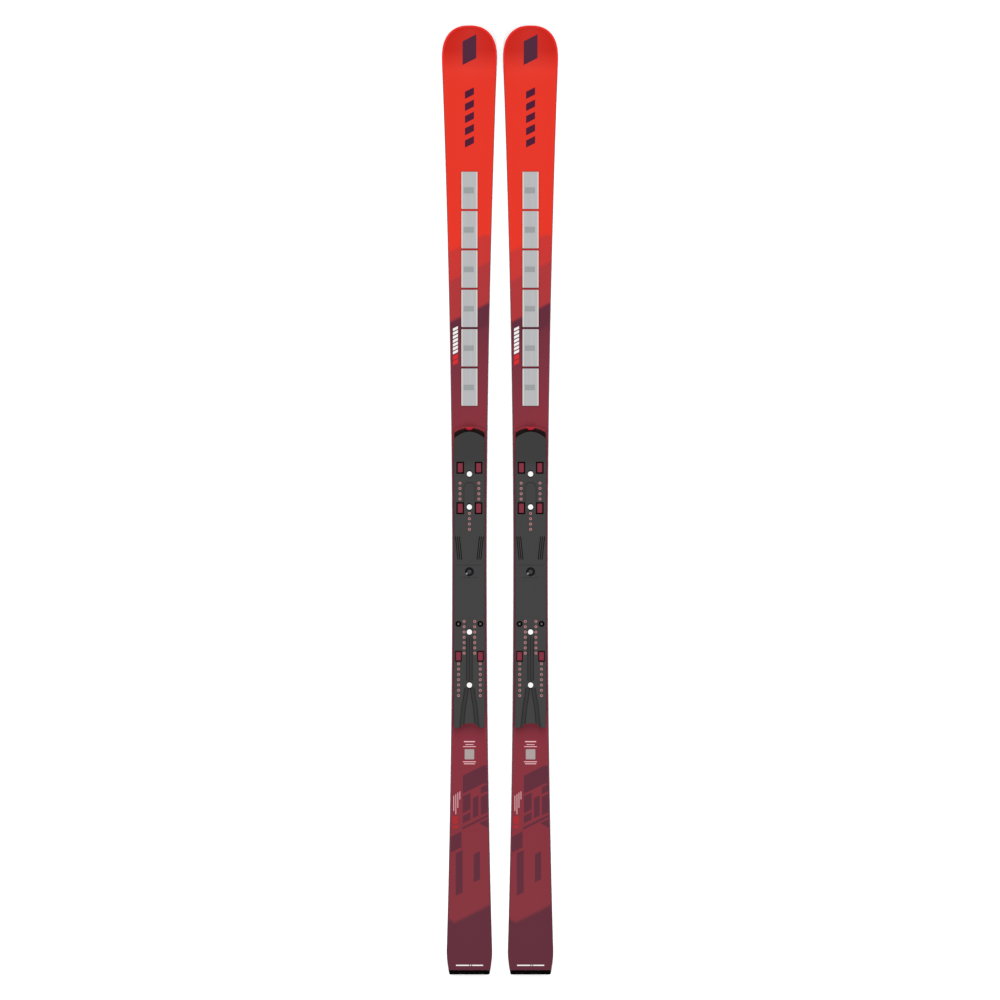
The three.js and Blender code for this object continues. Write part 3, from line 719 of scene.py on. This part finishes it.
def place(piece, material, body, node=None):
    """Puts a copy of a shape on each ski. body and node are named without the ski's side."""
    paint(piece, material)
    name = piece.name
    for side in SIDES:
        copy = piece.copy()
        copy.data = piece.data.copy()
        copy.name = copy.data.name = f"{side}_{name}"
        bpy.context.scene.collection.objects.link(copy)
        copy.location.x = centre_x(side) * MM
        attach(copy, f"{side}_{body}")
        if node:
            nodes = [node] if isinstance(node, str) else node
            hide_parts(*[f"{side}_{n}" for n in nodes])
    bpy.data.objects.remove(piece)


# ---- the laminated ski

LOWER_SHEET_Z = EDGE_SIZE + GLUE_LINE
CORE_Z = LOWER_SHEET_Z + LAMINATE + GLUE_LINE
BASE_THICKNESS = 1.4
BASE_GAP = 0.04  # between the base and the steel edges
GROOVE_HALF_WIDTH, GROOVE_DEPTH = 1.6, 0.5
SHEET_STATIONS = stations(TIP_RIM + GLUE_LINE)


def running_base():
    inset = EDGE_SIZE + BASE_GAP

    def section(y):
        w = half_width(y, inset)
        low = sole_height(y)
        groove = min(GROOVE_HALF_WIDTH, w / 3)
        roof = groove * 0.6, low + GROOVE_DEPTH
        high = low + BASE_THICKNESS
        return [
            (-w, low), (-groove, low), (-roof[0], roof[1]), roof,
            (groove, low), (w, low), (w, high), (-w, high),
        ]

    return loft("base_sheet", stations(inset), section)


def steel_edge(side):
    def section(y):
        w = half_width(y)
        low = sole_height(y)
        inner = max(w - EDGE_SIZE, 0)
        return [
            (side * inner, low), (side * (w - 0.15), low), (side * w, low + 0.15),
            (side * w, low + EDGE_SIZE), (side * inner, low + EDGE_SIZE),
        ]

    return loft(f"edge_rail_{HANDS[side]}", [y for y in stations(0) if y <= SHOVEL_Y], section)


def metal_sheet(name, inset_at, bottom_at):
    def section(y):
        w = half_width(y, inset_at(y))
        low = bottom_at(y)
        return [(-w, low), (w, low), (w, low + LAMINATE), (-w, low + LAMINATE)]

    return loft(name, stations(inset_at(TIP_Y)), section)


def sidewall(side):
    def section(y):
        foot = half_width(y, SIDEWALL_INSET)
        lean = min(rim(y), foot / 2)
        inner = max(min(foot - 8, half_width(y, sheet_inset(y)) - 2), GLUE_LINE)
        low = sole_height(y) + CORE_Z - GLUE_LINE
        top = top_height(y) - TOPSHEET + 0.05 - tip_drop(y)
        return [
            (side * inner, low), (side * foot, low),
            (side * (foot - 0.12 * lean), lerp(low, top, 0.5)),
            (side * (foot - 0.32 * lean), lerp(low, top, 0.82)),
            (side * (foot - lean), top), (side * inner, top),
        ]

    return loft(f"abs_sidewall_{HANDS[side]}", stations(SIDEWALL_INSET), section)


def sheet_inset(y):
    return rim(y) + GLUE_LINE


def topsheet():
    def section(y):
        w = half_width(y, sheet_inset(y))
        top = top_height(y)
        low = top - TOPSHEET
        soft = [(0.0, 0.55), (0.12, 0.28), (0.35, 0.1), (0.8, 0.0)]
        right = [(max(w - back, w / 2), top - drop) for back, drop in soft]
        left = [(-x, z) for x, z in reversed(right)]
        return [(-w, low), (w, low), *right, *left]

    return loft("printed_sheet", SHEET_STATIONS, section)


def tail_protector():
    low_y, high_y = PROTECTOR_LOW.y, PROTECTOR_HIGH.y
    back = [(0.0, 1.2), (0.4, 0.5), (1.2, 0.0)]

    def section(y, shrink):
        w = half_width(y) - shrink
        low = sole_height(y) + shrink
        top = top_height(y) - shrink
        return [
            (-w + 0.6, low), (w - 0.6, low), (w, low + 0.6),
            (w - SIDEWALL_SLOPE, top - 0.7), (w - SIDEWALL_SLOPE - 0.7, top),
            (-w + SIDEWALL_SLOPE + 0.7, top), (-w + SIDEWALL_SLOPE, top - 0.7), (-w, low + 0.6),
        ]

    shrinks = {low_y + at: shrink for at, shrink in back}
    shrinks[high_y] = 0.0
    return loft("tail_cap", list(shrinks), lambda y: section(y, shrinks[y]))


place(running_base(), "base", "ski", "running_base")
for hand, hand_name in HANDS.items():
    place(steel_edge(hand), "edge", "ski", f"edge_{hand_name}")
place(
    metal_sheet("lower_sheet", lambda y: GLUE_LINE, lambda y: sole_height(y) + LOWER_SHEET_Z),
    "laminate", "ski", "lower_laminate",
)
place(
    metal_sheet(
        "upper_sheet", sheet_inset, lambda y: top_height(y) - TOPSHEET - GLUE_LINE - LAMINATE,
    ),
    "laminate", "ski", "upper_laminate",
)
for hand, hand_name in HANDS.items():
    place(sidewall(hand), "sidewall", "ski", f"sidewall_{hand_name}")
place(topsheet(), "topsheet", "ski", "topsheet")
place(tail_protector(), "black", "ski", "tail_protector")

# ---- dampers


def sheet_height(y):
    """Height of the topsheet as it is meshed: straight from one station to the next."""
    i = min(bisect.bisect_right(SHEET_STATIONS, y), len(SHEET_STATIONS) - 1)
    near, far = SHEET_STATIONS[i - 1], SHEET_STATIONS[i]
    return lerp(top_height(near), top_height(far), (y - near) / (far - near))


SEGMENTS = 6
BED_TOP = 0.4  # above the topsheet
SEGMENT_BOTTOM = BED_TOP + GLUE_LINE
SEGMENT_TOP = SEGMENT_BOTTOM + 1.2
RECESS, RECESS_X = (19.4, 11.5), -1.3
RECESS_DEPTH = 0.2
INLAY_GAP = 0.3


def over_top(outlines, low_above, high_above):
    """Solids that follow the ski's top surface over plan outlines."""
    bm = bmesh.new()
    for outline in outlines:
        bm.faces.new([bm.verts.new((x, y, 0)) for x, y in outline])
    low_y = min(v.co.y for v in bm.verts)
    high_y = max(v.co.y for v in bm.verts)
    for cut in SHEET_STATIONS:
        if low_y < cut < high_y:
            geometry = bm.verts[:] + bm.edges[:] + bm.faces[:]
            bmesh.ops.bisect_plane(bm, geom=geometry, plane_co=(0, cut, 0), plane_no=(0, 1, 0))
    bottom = bm.faces[:]
    made = bmesh.ops.extrude_face_region(bm, geom=bottom)["geom"]
    raised = {v for v in made if isinstance(v, bmesh.types.BMVert)}
    for v in bm.verts:
        v.co.z = sheet_height(v.co.y) + (high_above if v in raised else low_above)
    bmesh.ops.recalc_face_normals(bm, faces=bm.faces)
    return bm


def damper_bed():
    low, high = box_mm("left_damper_bed")
    outline = rectangle(0, (low.y + high.y) / 2, high.x - low.x, high.y - low.y, 2.5)
    return object_from(over_top([outline], -0.3, BED_TOP), "rubber_bed")


def damper_segment(index):
    low, high = box_mm(f"left_damper_segment_{index}")
    middle = (low.y + high.y) / 2
    outline = rectangle(0, middle, high.x - low.x, high.y - low.y, 1.2)
    plate = object_from(over_top([outline], SEGMENT_BOTTOM, SEGMENT_TOP), "blank")
    recess_floor = top_height(middle) + SEGMENT_TOP - RECESS_DEPTH
    recess = (rectangle(RECESS_X, middle, *RECESS, 0.8), recess_floor, recess_floor + 5)
    return carve(plate, [recess], f"steel_segment_{index}", bevel=0.4)


def damper_inlay(index):
    low, high = box_mm(f"left_damper_segment_{index}")
    middle = (low.y + high.y) / 2
    top = SEGMENT_TOP - RECESS_DEPTH
    width, length = (size - INLAY_GAP for size in RECESS)
    outline = rectangle(RECESS_X, middle, width, length, 0.7)
    return object_from(over_top([outline], top - 0.3, top + 0.1), f"etched_inlay_{index}")


place(damper_bed(), "bed", "ski", "damper_bed")
for number in range(1, SEGMENTS + 1):
    place(
        damper_segment(number), "segment", f"damper_{number}",
        f"damper_segment_{number}",
    )
    place(damper_inlay(number), "window", f"damper_{number}")

# ---- binding plate

DECK_NOSE_DEPTH, UNDERLAY_NOSE_DEPTH = 12.4, 8.2
DECK_ARCH_DEPTH, CARRIER_ARCH_DEPTH = 8.5, 5.5
ARCH_HALF_WIDTH, ARCH_POWER = 18.5, 3
DECK_FLOAT, FIT_GAP = 1.5, 0.3
DECK_EDGE_RADIUS = 1.6
CARRIER_TOP = UNDERLAY_LOW.z - FIT_GAP
TAB_HALF_WIDTHS, TAB_REAR, TAB_REACH = (3.5, 10), 3.4, 9
UNDERLAY_NOSE_POWER = 3
BLOCK_DROP = 2
SCREW_YS = (49.8, -12.6, -248.5, -348.7)
CAP_RADIUS, CAP_HEIGHT, SCREW_SHANK = 5.1, 3.6, 2.6
FLEX_Y, DIAL_RADIUS, HUB_RADIUS, DIAL_HEIGHT = -134.7, 8.2, 3.8, 3.4
DOT_RADIUS, INDEX_ANGLE = 2, math.radians(215)
MARK_RADIUS, MARK_GAP, MARK_ANGLE = 0.9, 1.4, math.radians(299)
GUIDE_X, GUIDE_Y = 20.8, -233.2
GUIDE_RADIUS, BUSHING_RADIUS, GUIDE_HEIGHT = 2.1, 5.4, 4
HOLE_PITCH = 10
INSERT_RADIUS, INSERT_HOLE = 2.7, 1.2
WINDOWS = [
    (17.3, 61.6, (14.6, 22.8), (9.4, 17.6)),
    (17.3, -14.8, (14.6, 22.8), (9.4, 17.6)),
    (20.7, -294.2, (12.6, 20.6), (9.4, 16.4)),
]
CROSS_LINES = [(-122.2, 49), (-145.4, 28)]  # each faint line across the deck: its y and length
SLIT_WIDTH = 1.6
SPLAY = ((5.2, -354), (7.4, -371), (10.6, -388), (15, -432))  # the line of either rear groove
SPLAY_WIDTH, SPLAY_DEPTH = 9, 0.7
SPLAY_BORDER, SPLAY_BORDER_X, SPLAY_BORDER_DEPTH = 1.8, 3.5, 1.25
PANEL_Y, PANEL_SIZE, FAINT_DEPTH = -299, (12.4, 84), 0.45
CHANNEL_XS, CHANNEL_YS, CHANNEL_DEPTH = (-5, 0, 5), (-258, -340), 1.5
BOW_DEPTH = 1.2
SCREW_DEPTH = 11  # how deep the capped screws go into the ski
HOLE_RADIUS = 2.05
HOLE_ROWS = [(17.8, 17.5, 4), (0, -39.7, 4), (10, -258.5, 7), (20.5, -338.5, 7)]


def both(x):
    return (x,) if x == 0 else (x, -x)


HOLES = [
    (sx, y + (i - (count - 1) / 2) * HOLE_PITCH)
    for x, y, count in HOLE_ROWS
    for sx in both(x)
    for i in range(count)
]


def plate_outline(front_y, half, rear_y, nose_depth, arch_depth, nose_power=2.0, corner=2.5):
    """Round nose, straight sides and an arched rear edge."""
    nose = []
    arch = []
    for i in range(25):
        along = 1 - i / 12
        nose.append((half * along, front_y - nose_depth * abs(along) ** nose_power))
        rise = arch_depth * (1 - abs(along) ** ARCH_POWER)
        arch.append((-ARCH_HALF_WIDTH * along, rear_y + rise))
    left = rounded([nose[-1], (-half, rear_y), arch[0]], corner)[6:12]
    right = rounded([arch[-1], (half, rear_y), nose[0]], corner)[6:12]
    return nose + left + arch + right


def nose_wedge(clearance):
    """The nose tab's plan: a wedge that widens forwards, with room all round it."""
    narrow, wide = (half + 1.5 * clearance for half in TAB_HALF_WIDTHS)
    rear = DECK_HIGH.y + TAB_REAR - clearance
    front = DECK_HIGH.y + TAB_REACH + clearance
    return [(-narrow, rear), (narrow, rear), (wide, front), (-wide, front)]


def plate_carrier():
    front, rear = CARRIER_HIGH.y, CARRIER_LOW.y
    half = PLATE_HALF_WIDTH - 0.6
    outline = plate_outline(front, half, rear, UNDERLAY_NOSE_DEPTH, CARRIER_ARCH_DEPTH)
    bm = bmesh.new()
    add_slab(bm, outline, CARRIER_LOW.z + 0.2, CARRIER_TOP)
    return bevelled(object_from(bm, "blank"), "red_carrier", 0.7)


def guide_blocks():
    bm = bmesh.new()
    for x, y, _, block in WINDOWS:
        for sx in both(x):
            add_slab(bm, rectangle(sx, y, *block, 0.8), CARRIER_TOP - 0.5, DECK_TOP - BLOCK_DROP)
    return bevelled(object_from(bm, "blank"), "guide_blocks", 0.9)


def nose_tab():
    bm = bmesh.new()
    add_slab(bm, rounded(nose_wedge(0), 1.5), CARRIER_TOP - 0.5, DECK_TOP - RAMP_DROP - 3)
    return bevelled(object_from(bm, "blank"), "nose_tab", 0.6)


def plate_underlay():
    bm = bmesh.new()
    half = PLATE_HALF_WIDTH - 0.3
    front, rear = UNDERLAY_HIGH.y, UNDERLAY_LOW.y
    outline = plate_outline(
        front, half, rear, UNDERLAY_NOSE_DEPTH, DECK_ARCH_DEPTH, UNDERLAY_NOSE_POWER,
    )
    add_slab(bm, outline, UNDERLAY_LOW.z - 0.2, UNDERLAY_HIGH.z)
    openings = [nose_wedge(0.8), circle(0, FLEX_Y, SCREW_SHANK + FIT_GAP, DECK_FLOAT + FIT_GAP)]
    for x, y, _, (width, length) in WINDOWS:
        for sx in both(x):
            openings.append(rectangle(sx, y, width + 2 * FIT_GAP, length + 2 * FIT_GAP, 1))
    cutters = [(opening, CARRIER_TOP - 2, DECK_TOP) for opening in openings]
    return carve(object_from(bm, "blank"), cutters, "rubber_layer", bevel=0.7)


def deck_grooves():
    """Outlines and depths of the slits and grooves in the deck's face."""
    grooves = []
    for side in (-1, 1):
        for i in range(3):
            line = [(side * (19 + 3.7 * i), -68), (side * (14.3 + 3.6 * i), -112)]
            grooves.append((rounded(ribbon(line, SLIT_WIDTH), 0.7), DECK_TOP - DECK_Z + 1))
        line = [(side * x, y) for x, y in SPLAY]
        grooves.append((ribbon(line, SPLAY_WIDTH), SPLAY_DEPTH))
        for shift in (-SPLAY_BORDER_X, SPLAY_BORDER_X):
            line = [(side * (x + shift), y) for x, y in SPLAY]
            grooves.append((ribbon(line, SPLAY_BORDER), SPLAY_BORDER_DEPTH))
    grooves.append((rounded(rectangle(0, PANEL_Y, *PANEL_SIZE), 1), FAINT_DEPTH))
    for x in CHANNEL_XS:
        line = [(x, y) for y in CHANNEL_YS]
        grooves.append((rounded(ribbon(line, SLIT_WIDTH), 0.7), CHANNEL_DEPTH))
    for y, width in CROSS_LINES:
        grooves.append((rectangle(0, y, width, 1.4), FAINT_DEPTH))
    bow = [(10.5, -4), (10.5, 20), (10.2, 25), (8.6, 30), (5.6, 33), (0, 33.7)]
    bow += [(-x, y) for x, y in reversed(bow[:-1])]
    grooves.append((ribbon(bow, 1.0), BOW_DEPTH))
    return grooves


def deck_blank():
    """The deck before anything is cut out of it: soft upper edges and a ramp down to its nose."""
    bm = bmesh.new()
    front, rear = DECK_HIGH.y, DECK_LOW.y
    outline = plate_outline(front, PLATE_HALF_WIDTH, rear, DECK_NOSE_DEPTH, DECK_ARCH_DEPTH)
    add_slab(bm, outline, DECK_Z, DECK_TOP)
    top_edges = [e for e in bm.edges if all(v.co.z > DECK_TOP - 0.01 for v in e.verts)]
    bmesh.ops.bevel(
        bm, geom=top_edges, offset=DECK_EDGE_RADIUS, offset_type="OFFSET", segments=4,
        profile=0.5, affect="EDGES", clamp_overlap=True,
    )
    geometry = bm.verts[:] + bm.edges[:] + bm.faces[:]
    plane = (0, RAMP_START_Y, 0)
    bmesh.ops.bisect_plane(bm, geom=geometry, plane_co=plane, plane_no=(0, 1, 0))
    for v in bm.verts:
        along = max(v.co.y - RAMP_START_Y, 0) / (front - RAMP_START_Y)
        v.co.z -= RAMP_DROP * along * (v.co.z - DECK_Z) / (DECK_TOP - DECK_Z)
    bmesh.ops.connect_verts_nonplanar(bm, angle_limit=0.001, faces=bm.faces)
    return object_from(bm, "blank")


def plate_deck():
    above = DECK_TOP + 2
    below = DECK_Z - 2
    stretch = DECK_FLOAT + FIT_GAP
    cutters = [(outline, DECK_TOP - depth, above) for outline, depth in deck_grooves()]
    for x, y, (width, length), _ in WINDOWS:
        for sx in both(x):
            cutters.append((rectangle(sx, y, width, length, 1.2), below, above))
    for x, y in HOLES:
        cutters.append((circle(x, y, INSERT_RADIUS + 0.05, sides=20), DECK_TOP - 1.2, above))
        cutters.append((circle(x, y, HOLE_RADIUS, sides=20), below, above - 0.5))
    for y in SCREW_YS:
        hollow = circle(0, y, CAP_RADIUS + FIT_GAP, stretch)
        cutters.append((hollow, DECK_TOP - CAP_HEIGHT - FIT_GAP, above))
        cutters.append((circle(0, y, SCREW_SHANK + FIT_GAP, stretch), below, above - 0.5))
    hollow = circle(0, FLEX_Y, DIAL_RADIUS + FIT_GAP)
    cutters.append((hollow, DECK_TOP - DIAL_HEIGHT - FIT_GAP, above))
    for sx in both(GUIDE_X):
        hollow = circle(sx, GUIDE_Y, BUSHING_RADIUS + FIT_GAP)
        cutters.append((hollow, DECK_TOP - GUIDE_HEIGHT - FIT_GAP, above))
    return carve(deck_blank(), cutters, "binding_deck", bevel=0.3)


def binding_inserts():
    bm = bmesh.new()
    top = DECK_TOP - 0.05
    for x, y in HOLES:
        profile = [
            (0, DECK_TOP - 5), (1.9, DECK_TOP - 5), (1.9, DECK_TOP - 1), (INSERT_RADIUS, DECK_TOP - 1),
            (INSERT_RADIUS, top - 0.25), (INSERT_RADIUS - 0.25, top), (INSERT_HOLE + 0.25, top),
            (INSERT_HOLE, top - 0.3), (INSERT_HOLE, DECK_TOP - 3), (0, DECK_TOP - 3),
        ]
        add_turned(bm, profile, x, y, 20)
    return object_from(bm, "binding_inserts")


place(plate_carrier(), "carrier", "ski", "plate_carrier")
place(guide_blocks(), "block", "ski")
place(nose_tab(), "tab", "ski")
place(plate_underlay(), "underlay", "ski", "plate_underlay")
place(plate_deck(), "deck", "deck", "plate_deck")
place(binding_inserts(), "insert", "deck")

# ---- fasteners and dial


def turned(name, profile, x, y, sides=48):
    bm = bmesh.new()
    add_turned(bm, profile, x, y, sides)
    return object_from(bm, name)


def capped_screw(number, y):
    top, shoulder = DECK_TOP, DECK_TOP - CAP_HEIGHT
    foot = top_height(y) - SCREW_DEPTH
    profile = [
        (0, foot), (SCREW_SHANK - 0.8, foot + 1.5), (SCREW_SHANK, foot + 3), (SCREW_SHANK, shoulder),
        (CAP_RADIUS - 0.2, shoulder), (CAP_RADIUS, shoulder + 0.2), (CAP_RADIUS, top - 0.7),
        (CAP_RADIUS - 0.2, top - 0.25), (CAP_RADIUS - 0.7, top - 0.05), (1.6, top),
        (1.2, top - 0.3), (0, top - 0.35),
    ]
    return turned(f"white_cap_{number}", profile, 0, y)


def guide_bushing(side):
    inner, low, top = GUIDE_RADIUS + FIT_GAP, DECK_TOP - GUIDE_HEIGHT, DECK_TOP - 0.2
    profile = [
        (inner, low), (BUSHING_RADIUS, low), (BUSHING_RADIUS, top - 0.5),
        (BUSHING_RADIUS - 0.5, top), (inner + 0.5, top), (inner, top - 0.5),
    ]
    return turned(f"bushing_ring_{HANDS[side]}", profile, side * GUIDE_X, GUIDE_Y)


def guide_screw(side):
    x = side * GUIDE_X
    head, top = DECK_TOP - GUIDE_HEIGHT, DECK_TOP - 0.6
    profile = [
        (0, DECK_Z + 0.5), (1.6, DECK_Z + 1.1), (1.6, head), (GUIDE_RADIUS, head),
        (GUIDE_RADIUS, top - 0.4), (GUIDE_RADIUS - 0.4, top), (0, top),
    ]
    body = turned("blank", profile, x, GUIDE_Y)
    socket = circle(x, GUIDE_Y, 1.5, sides=6)
    return carve(body, [(socket, top - 2, top + 1)], f"bushed_screw_{HANDS[side]}")


def flex_screw():
    top, shoulder = DECK_TOP - 0.4, DECK_TOP - DIAL_HEIGHT + 0.4
    profile = [
        (0, UNDERLAY_LOW.z), (SCREW_SHANK - 0.6, UNDERLAY_LOW.z), (SCREW_SHANK, UNDERLAY_LOW.z + 0.8),
        (SCREW_SHANK, shoulder), (HUB_RADIUS, shoulder), (HUB_RADIUS, top - 0.5),
        (HUB_RADIUS - 0.5, top), (0, top),
    ]
    socket = circle(0, FLEX_Y, 2.4, sides=6)
    return carve(turned("blank", profile, 0, FLEX_Y), [(socket, top - 2.2, top + 1)], "hub_screw")


def flex_dial():
    inner, low, top = HUB_RADIUS + FIT_GAP, DECK_TOP - DIAL_HEIGHT, DECK_TOP - 0.3
    profile = [
        (inner, low), (DIAL_RADIUS, low), (DIAL_RADIUS, top - 0.7), (DIAL_RADIUS - 0.2, top - 0.25),
        (DIAL_RADIUS - 0.7, top), (inner + 0.5, top), (inner, top - 0.5),
    ]
    return turned("dial_ring", profile, 0, FLEX_Y, 64)


# A pale grey dot at the dial's lower left: an index dot, and a painted highlight there.
def index_dot_and_highlight():
    reach = DIAL_RADIUS - DOT_RADIUS
    top = DECK_TOP - 0.05
    r = DOT_RADIUS
    profile = [
        (0, top - 1.5), (r, top - 1.5), (r, top - 0.35),
        (r - 0.2, top - 0.1), (r - 0.6, top), (0, top),
    ]
    x, y = reach * math.cos(INDEX_ANGLE), FLEX_Y + reach * math.sin(INDEX_ANGLE)
    return turned("index_dot_and_highlight", profile, x, y, 28)


def index_mark():
    """A small stud in the deck beside the dial, at its other position."""
    reach = DIAL_RADIUS + MARK_GAP
    x, y = reach * math.cos(MARK_ANGLE), FLEX_Y + reach * math.sin(MARK_ANGLE)
    top = DECK_TOP + 0.1
    profile = [
        (0, DECK_TOP - 1), (MARK_RADIUS, DECK_TOP - 1), (MARK_RADIUS, DECK_TOP),
        (MARK_RADIUS - 0.3, top), (0, top),
    ]
    return turned("index_mark", profile, x, y, 20)


for number, screw_y in enumerate(SCREW_YS, 1):
    place(capped_screw(number, screw_y), "cap", "ski", f"capped_screw_{number}")
for hand, hand_name in HANDS.items():
    place(guide_bushing(hand), "black", "deck", f"guide_bushing_{hand_name}")
    place(guide_screw(hand), "guide_screw", "deck", f"guide_screw_{hand_name}")
place(flex_screw(), "screw", "deck", "flex_screw")
place(flex_dial(), "dial", "dial", "flex_dial")
place(index_dot_and_highlight(), "dot", "dial")
place(index_mark(), "faint_dot", "deck")

# ---- printed shapes

PRINT_LOW, PRINT_HIGH = -0.25, 0.04


def slanted(x0, x1, low, high, fold_x=100):
    """A block with upright sides and ends on the print's slant, which run level beyond fold_x.

    low and high are where the ends cross the centreline.
    """
    xs = [x0, fold_x, x1] if x0 < fold_x < x1 else [x0, x1]
    lower = [(x, low + PRINT_SLOPE * min(x, fold_x)) for x in xs]
    upper = [(x, high + PRINT_SLOPE * min(x, fold_x)) for x in reversed(xs)]
    return lower + upper


def inside_edge(y):
    return half_width(y, sheet_inset(y)) - 0.9


def dashes(x0, x1, start, length, pitch, count):
    """A column of slanted blocks from start forwards."""
    return [slanted(x0, x1, start + pitch * i, start + length + pitch * i) for i in range(count)]


def heel_lines():
    """Each row's place, half width and thickness."""
    rows = (
        (-455.8, 10.4, 2.1), (-461.3, 7.5, 1.3), (-465.2, 12, 1.4),
        (-493.9, 12.2, 1.6), (-497.7, 10.5, 1.5),
    )
    return [rectangle(0, y, 2 * half, thick) for y, half, thick in rows]


def tail_pattern():
    """Tone-on-tone blocks behind the plate, with a few tiles among them."""
    edge = inside_edge(-590)
    tiles = (
        (-12.6, 2, -604, -590), (-12.6, 2, -585, -553), (6.5, 17, -604, -566),
        (21.5, edge, -606, -571), (21.5, edge, -566, -553),
    )
    return [
        slanted(-12.6, inside_edge(-520), -548, -514, fold_x=26),
        *[slanted(*tile) for tile in tiles],
        slanted(-14, inside_edge(-600), -615.5, -611),
        [(18, -610), (inside_edge(-618), -619), (inside_edge(-602), -602)],
        slanted(-inside_edge(-640), -15, -648, -618),
        slanted(-26, -13, -734, -654),
        slanted(8.2, 20, -726, -673),
    ]


def tail_lines():
    rows = ((-29.6, -587, -558), (-25.7, -593, -555), (-21.9, -581, -552), (-18.1, -565, -550))
    return [rectangle(x, (low + high) / 2, 1.2, high - low) for x, low, high in rows]


def tail_rows():
    """Two plain blocks of unequal length."""
    return [rectangle(-27, y, 9.6, length) for y, length in ((-603.7, 14.2), (-616.6, 5.6))]


def tail_dashes():
    spans = ((-25.5, -0.5), (1, 3.4), (5, 25.7))
    return [rectangle((low + high) / 2, -878.7, high - low, 2.3) for low, high in spans]


PRINTS = {
    "tip_block": ("print_plum", [slanted(-13, 13, 829, 873)]),
    "shovel_dashes": ("print_plum", dashes(-8.5, 8.5, 671, 13.5, 23, 5)),
    "side_dashes": ("print_white", dashes(-31.2, -21.8, 291.2, 5.2, 7.3, 7)),
    "side_blocks": ("print_red", dashes(-31.2, -21.8, 270.5, 8, 9.7, 2)),
    "heel_lines": ("print_pink", heel_lines()),
    "heel_square": ("print_label", [rectangle(0, -479.7, 18, 19.2, 1.2)]),
    "tail_pattern": ("print_dark", tail_pattern()),
    "tail_lines": ("print_pink", tail_lines()),
    "tail_rows": ("print_tail_red", tail_rows()),
    "tail_dashes": ("print_white", tail_dashes()),
}

for print_name, (material, outlines) in PRINTS.items():
    film = over_top(outlines, PRINT_LOW, PRINT_HIGH)
    place(object_from(film, print_name), material, "ski")

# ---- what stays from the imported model

for side_name in SIDES:
    paint(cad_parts[f"{side_name}_wood_core"], "wood")

# ---- floor, light and camera

# Lengths here are in metres, but for the camera's lens and sensor, and powers are in watts.
FLOOR_SIZE, FLOOR_DROP = 12, 0.0002
FLOOR_COLOR = (0.95, 0.95, 0.95, 1)
WORLD_STRENGTH = 1.03
SOFTBOX_SIZE, SOFTBOX_DISTANCE = (1.0, 6.0), 8.0
SOFTBOX_ELEVATION = math.radians(50)
TIP_POWER, TAIL_POWER = 262, 240
LENS, SENSOR = 400, 36
VIEW_WIDTH, VIEW_CENTRE_Y = 1.8907, 0.0007


def floor():
    bpy.ops.mesh.primitive_plane_add(size=FLOOR_SIZE, location=(0, 0, -FLOOR_DROP))
    plane = bpy.context.object
    plane.name = "floor"
    shader = Shader("floor_paint", "#ffffff", 0.9, specular=0.1)
    shader.color = FLOOR_COLOR
    shader.vary(shader.noise(3), 0.004)
    plane.data.materials.append(shader.material)


def world_light(strength):
    world = bpy.data.worlds.new("studio")
    world.use_nodes = True
    background = world.node_tree.nodes["Background"]
    background.inputs["Color"].default_value = WHITE
    background.inputs["Strength"].default_value = strength
    bpy.context.scene.world = world


def softbox(name, end, power):
    """A long, narrow light in line with the skis, out beyond their tips or their tails."""
    data = bpy.data.lights.new(name, "AREA")
    data.shape = "RECTANGLE"
    data.size, data.size_y = SOFTBOX_SIZE
    data.energy = power
    lamp = bpy.data.objects.new(name, data)
    along, up = math.cos(SOFTBOX_ELEVATION), math.sin(SOFTBOX_ELEVATION)
    lamp.location = (0, end * SOFTBOX_DISTANCE * along, SOFTBOX_DISTANCE * up)
    lamp.rotation_euler = lamp.location.to_track_quat("Z", "Y").to_euler()
    lamp.visible_camera = False
    bpy.context.scene.collection.objects.link(lamp)


def camera():
    """A long lens straight above, with the tips at the top of the picture."""
    data = bpy.data.cameras.new("camera")
    data.lens = LENS
    data.sensor_width = SENSOR
    data.clip_end = 100
    distance = LENS / SENSOR * VIEW_WIDTH
    cam = bpy.data.objects.new("camera", data)
    cam.location = (0, VIEW_CENTRE_Y, distance)
    bpy.context.scene.collection.objects.link(cam)
    bpy.context.scene.camera = cam


floor()
world_light(WORLD_STRENGTH)
softbox("softbox_beyond_tips", 1, TIP_POWER)
softbox("softbox_beyond_tails", -1, TAIL_POWER)
camera()
bpy.context.scene.view_settings.view_transform = "Standard"
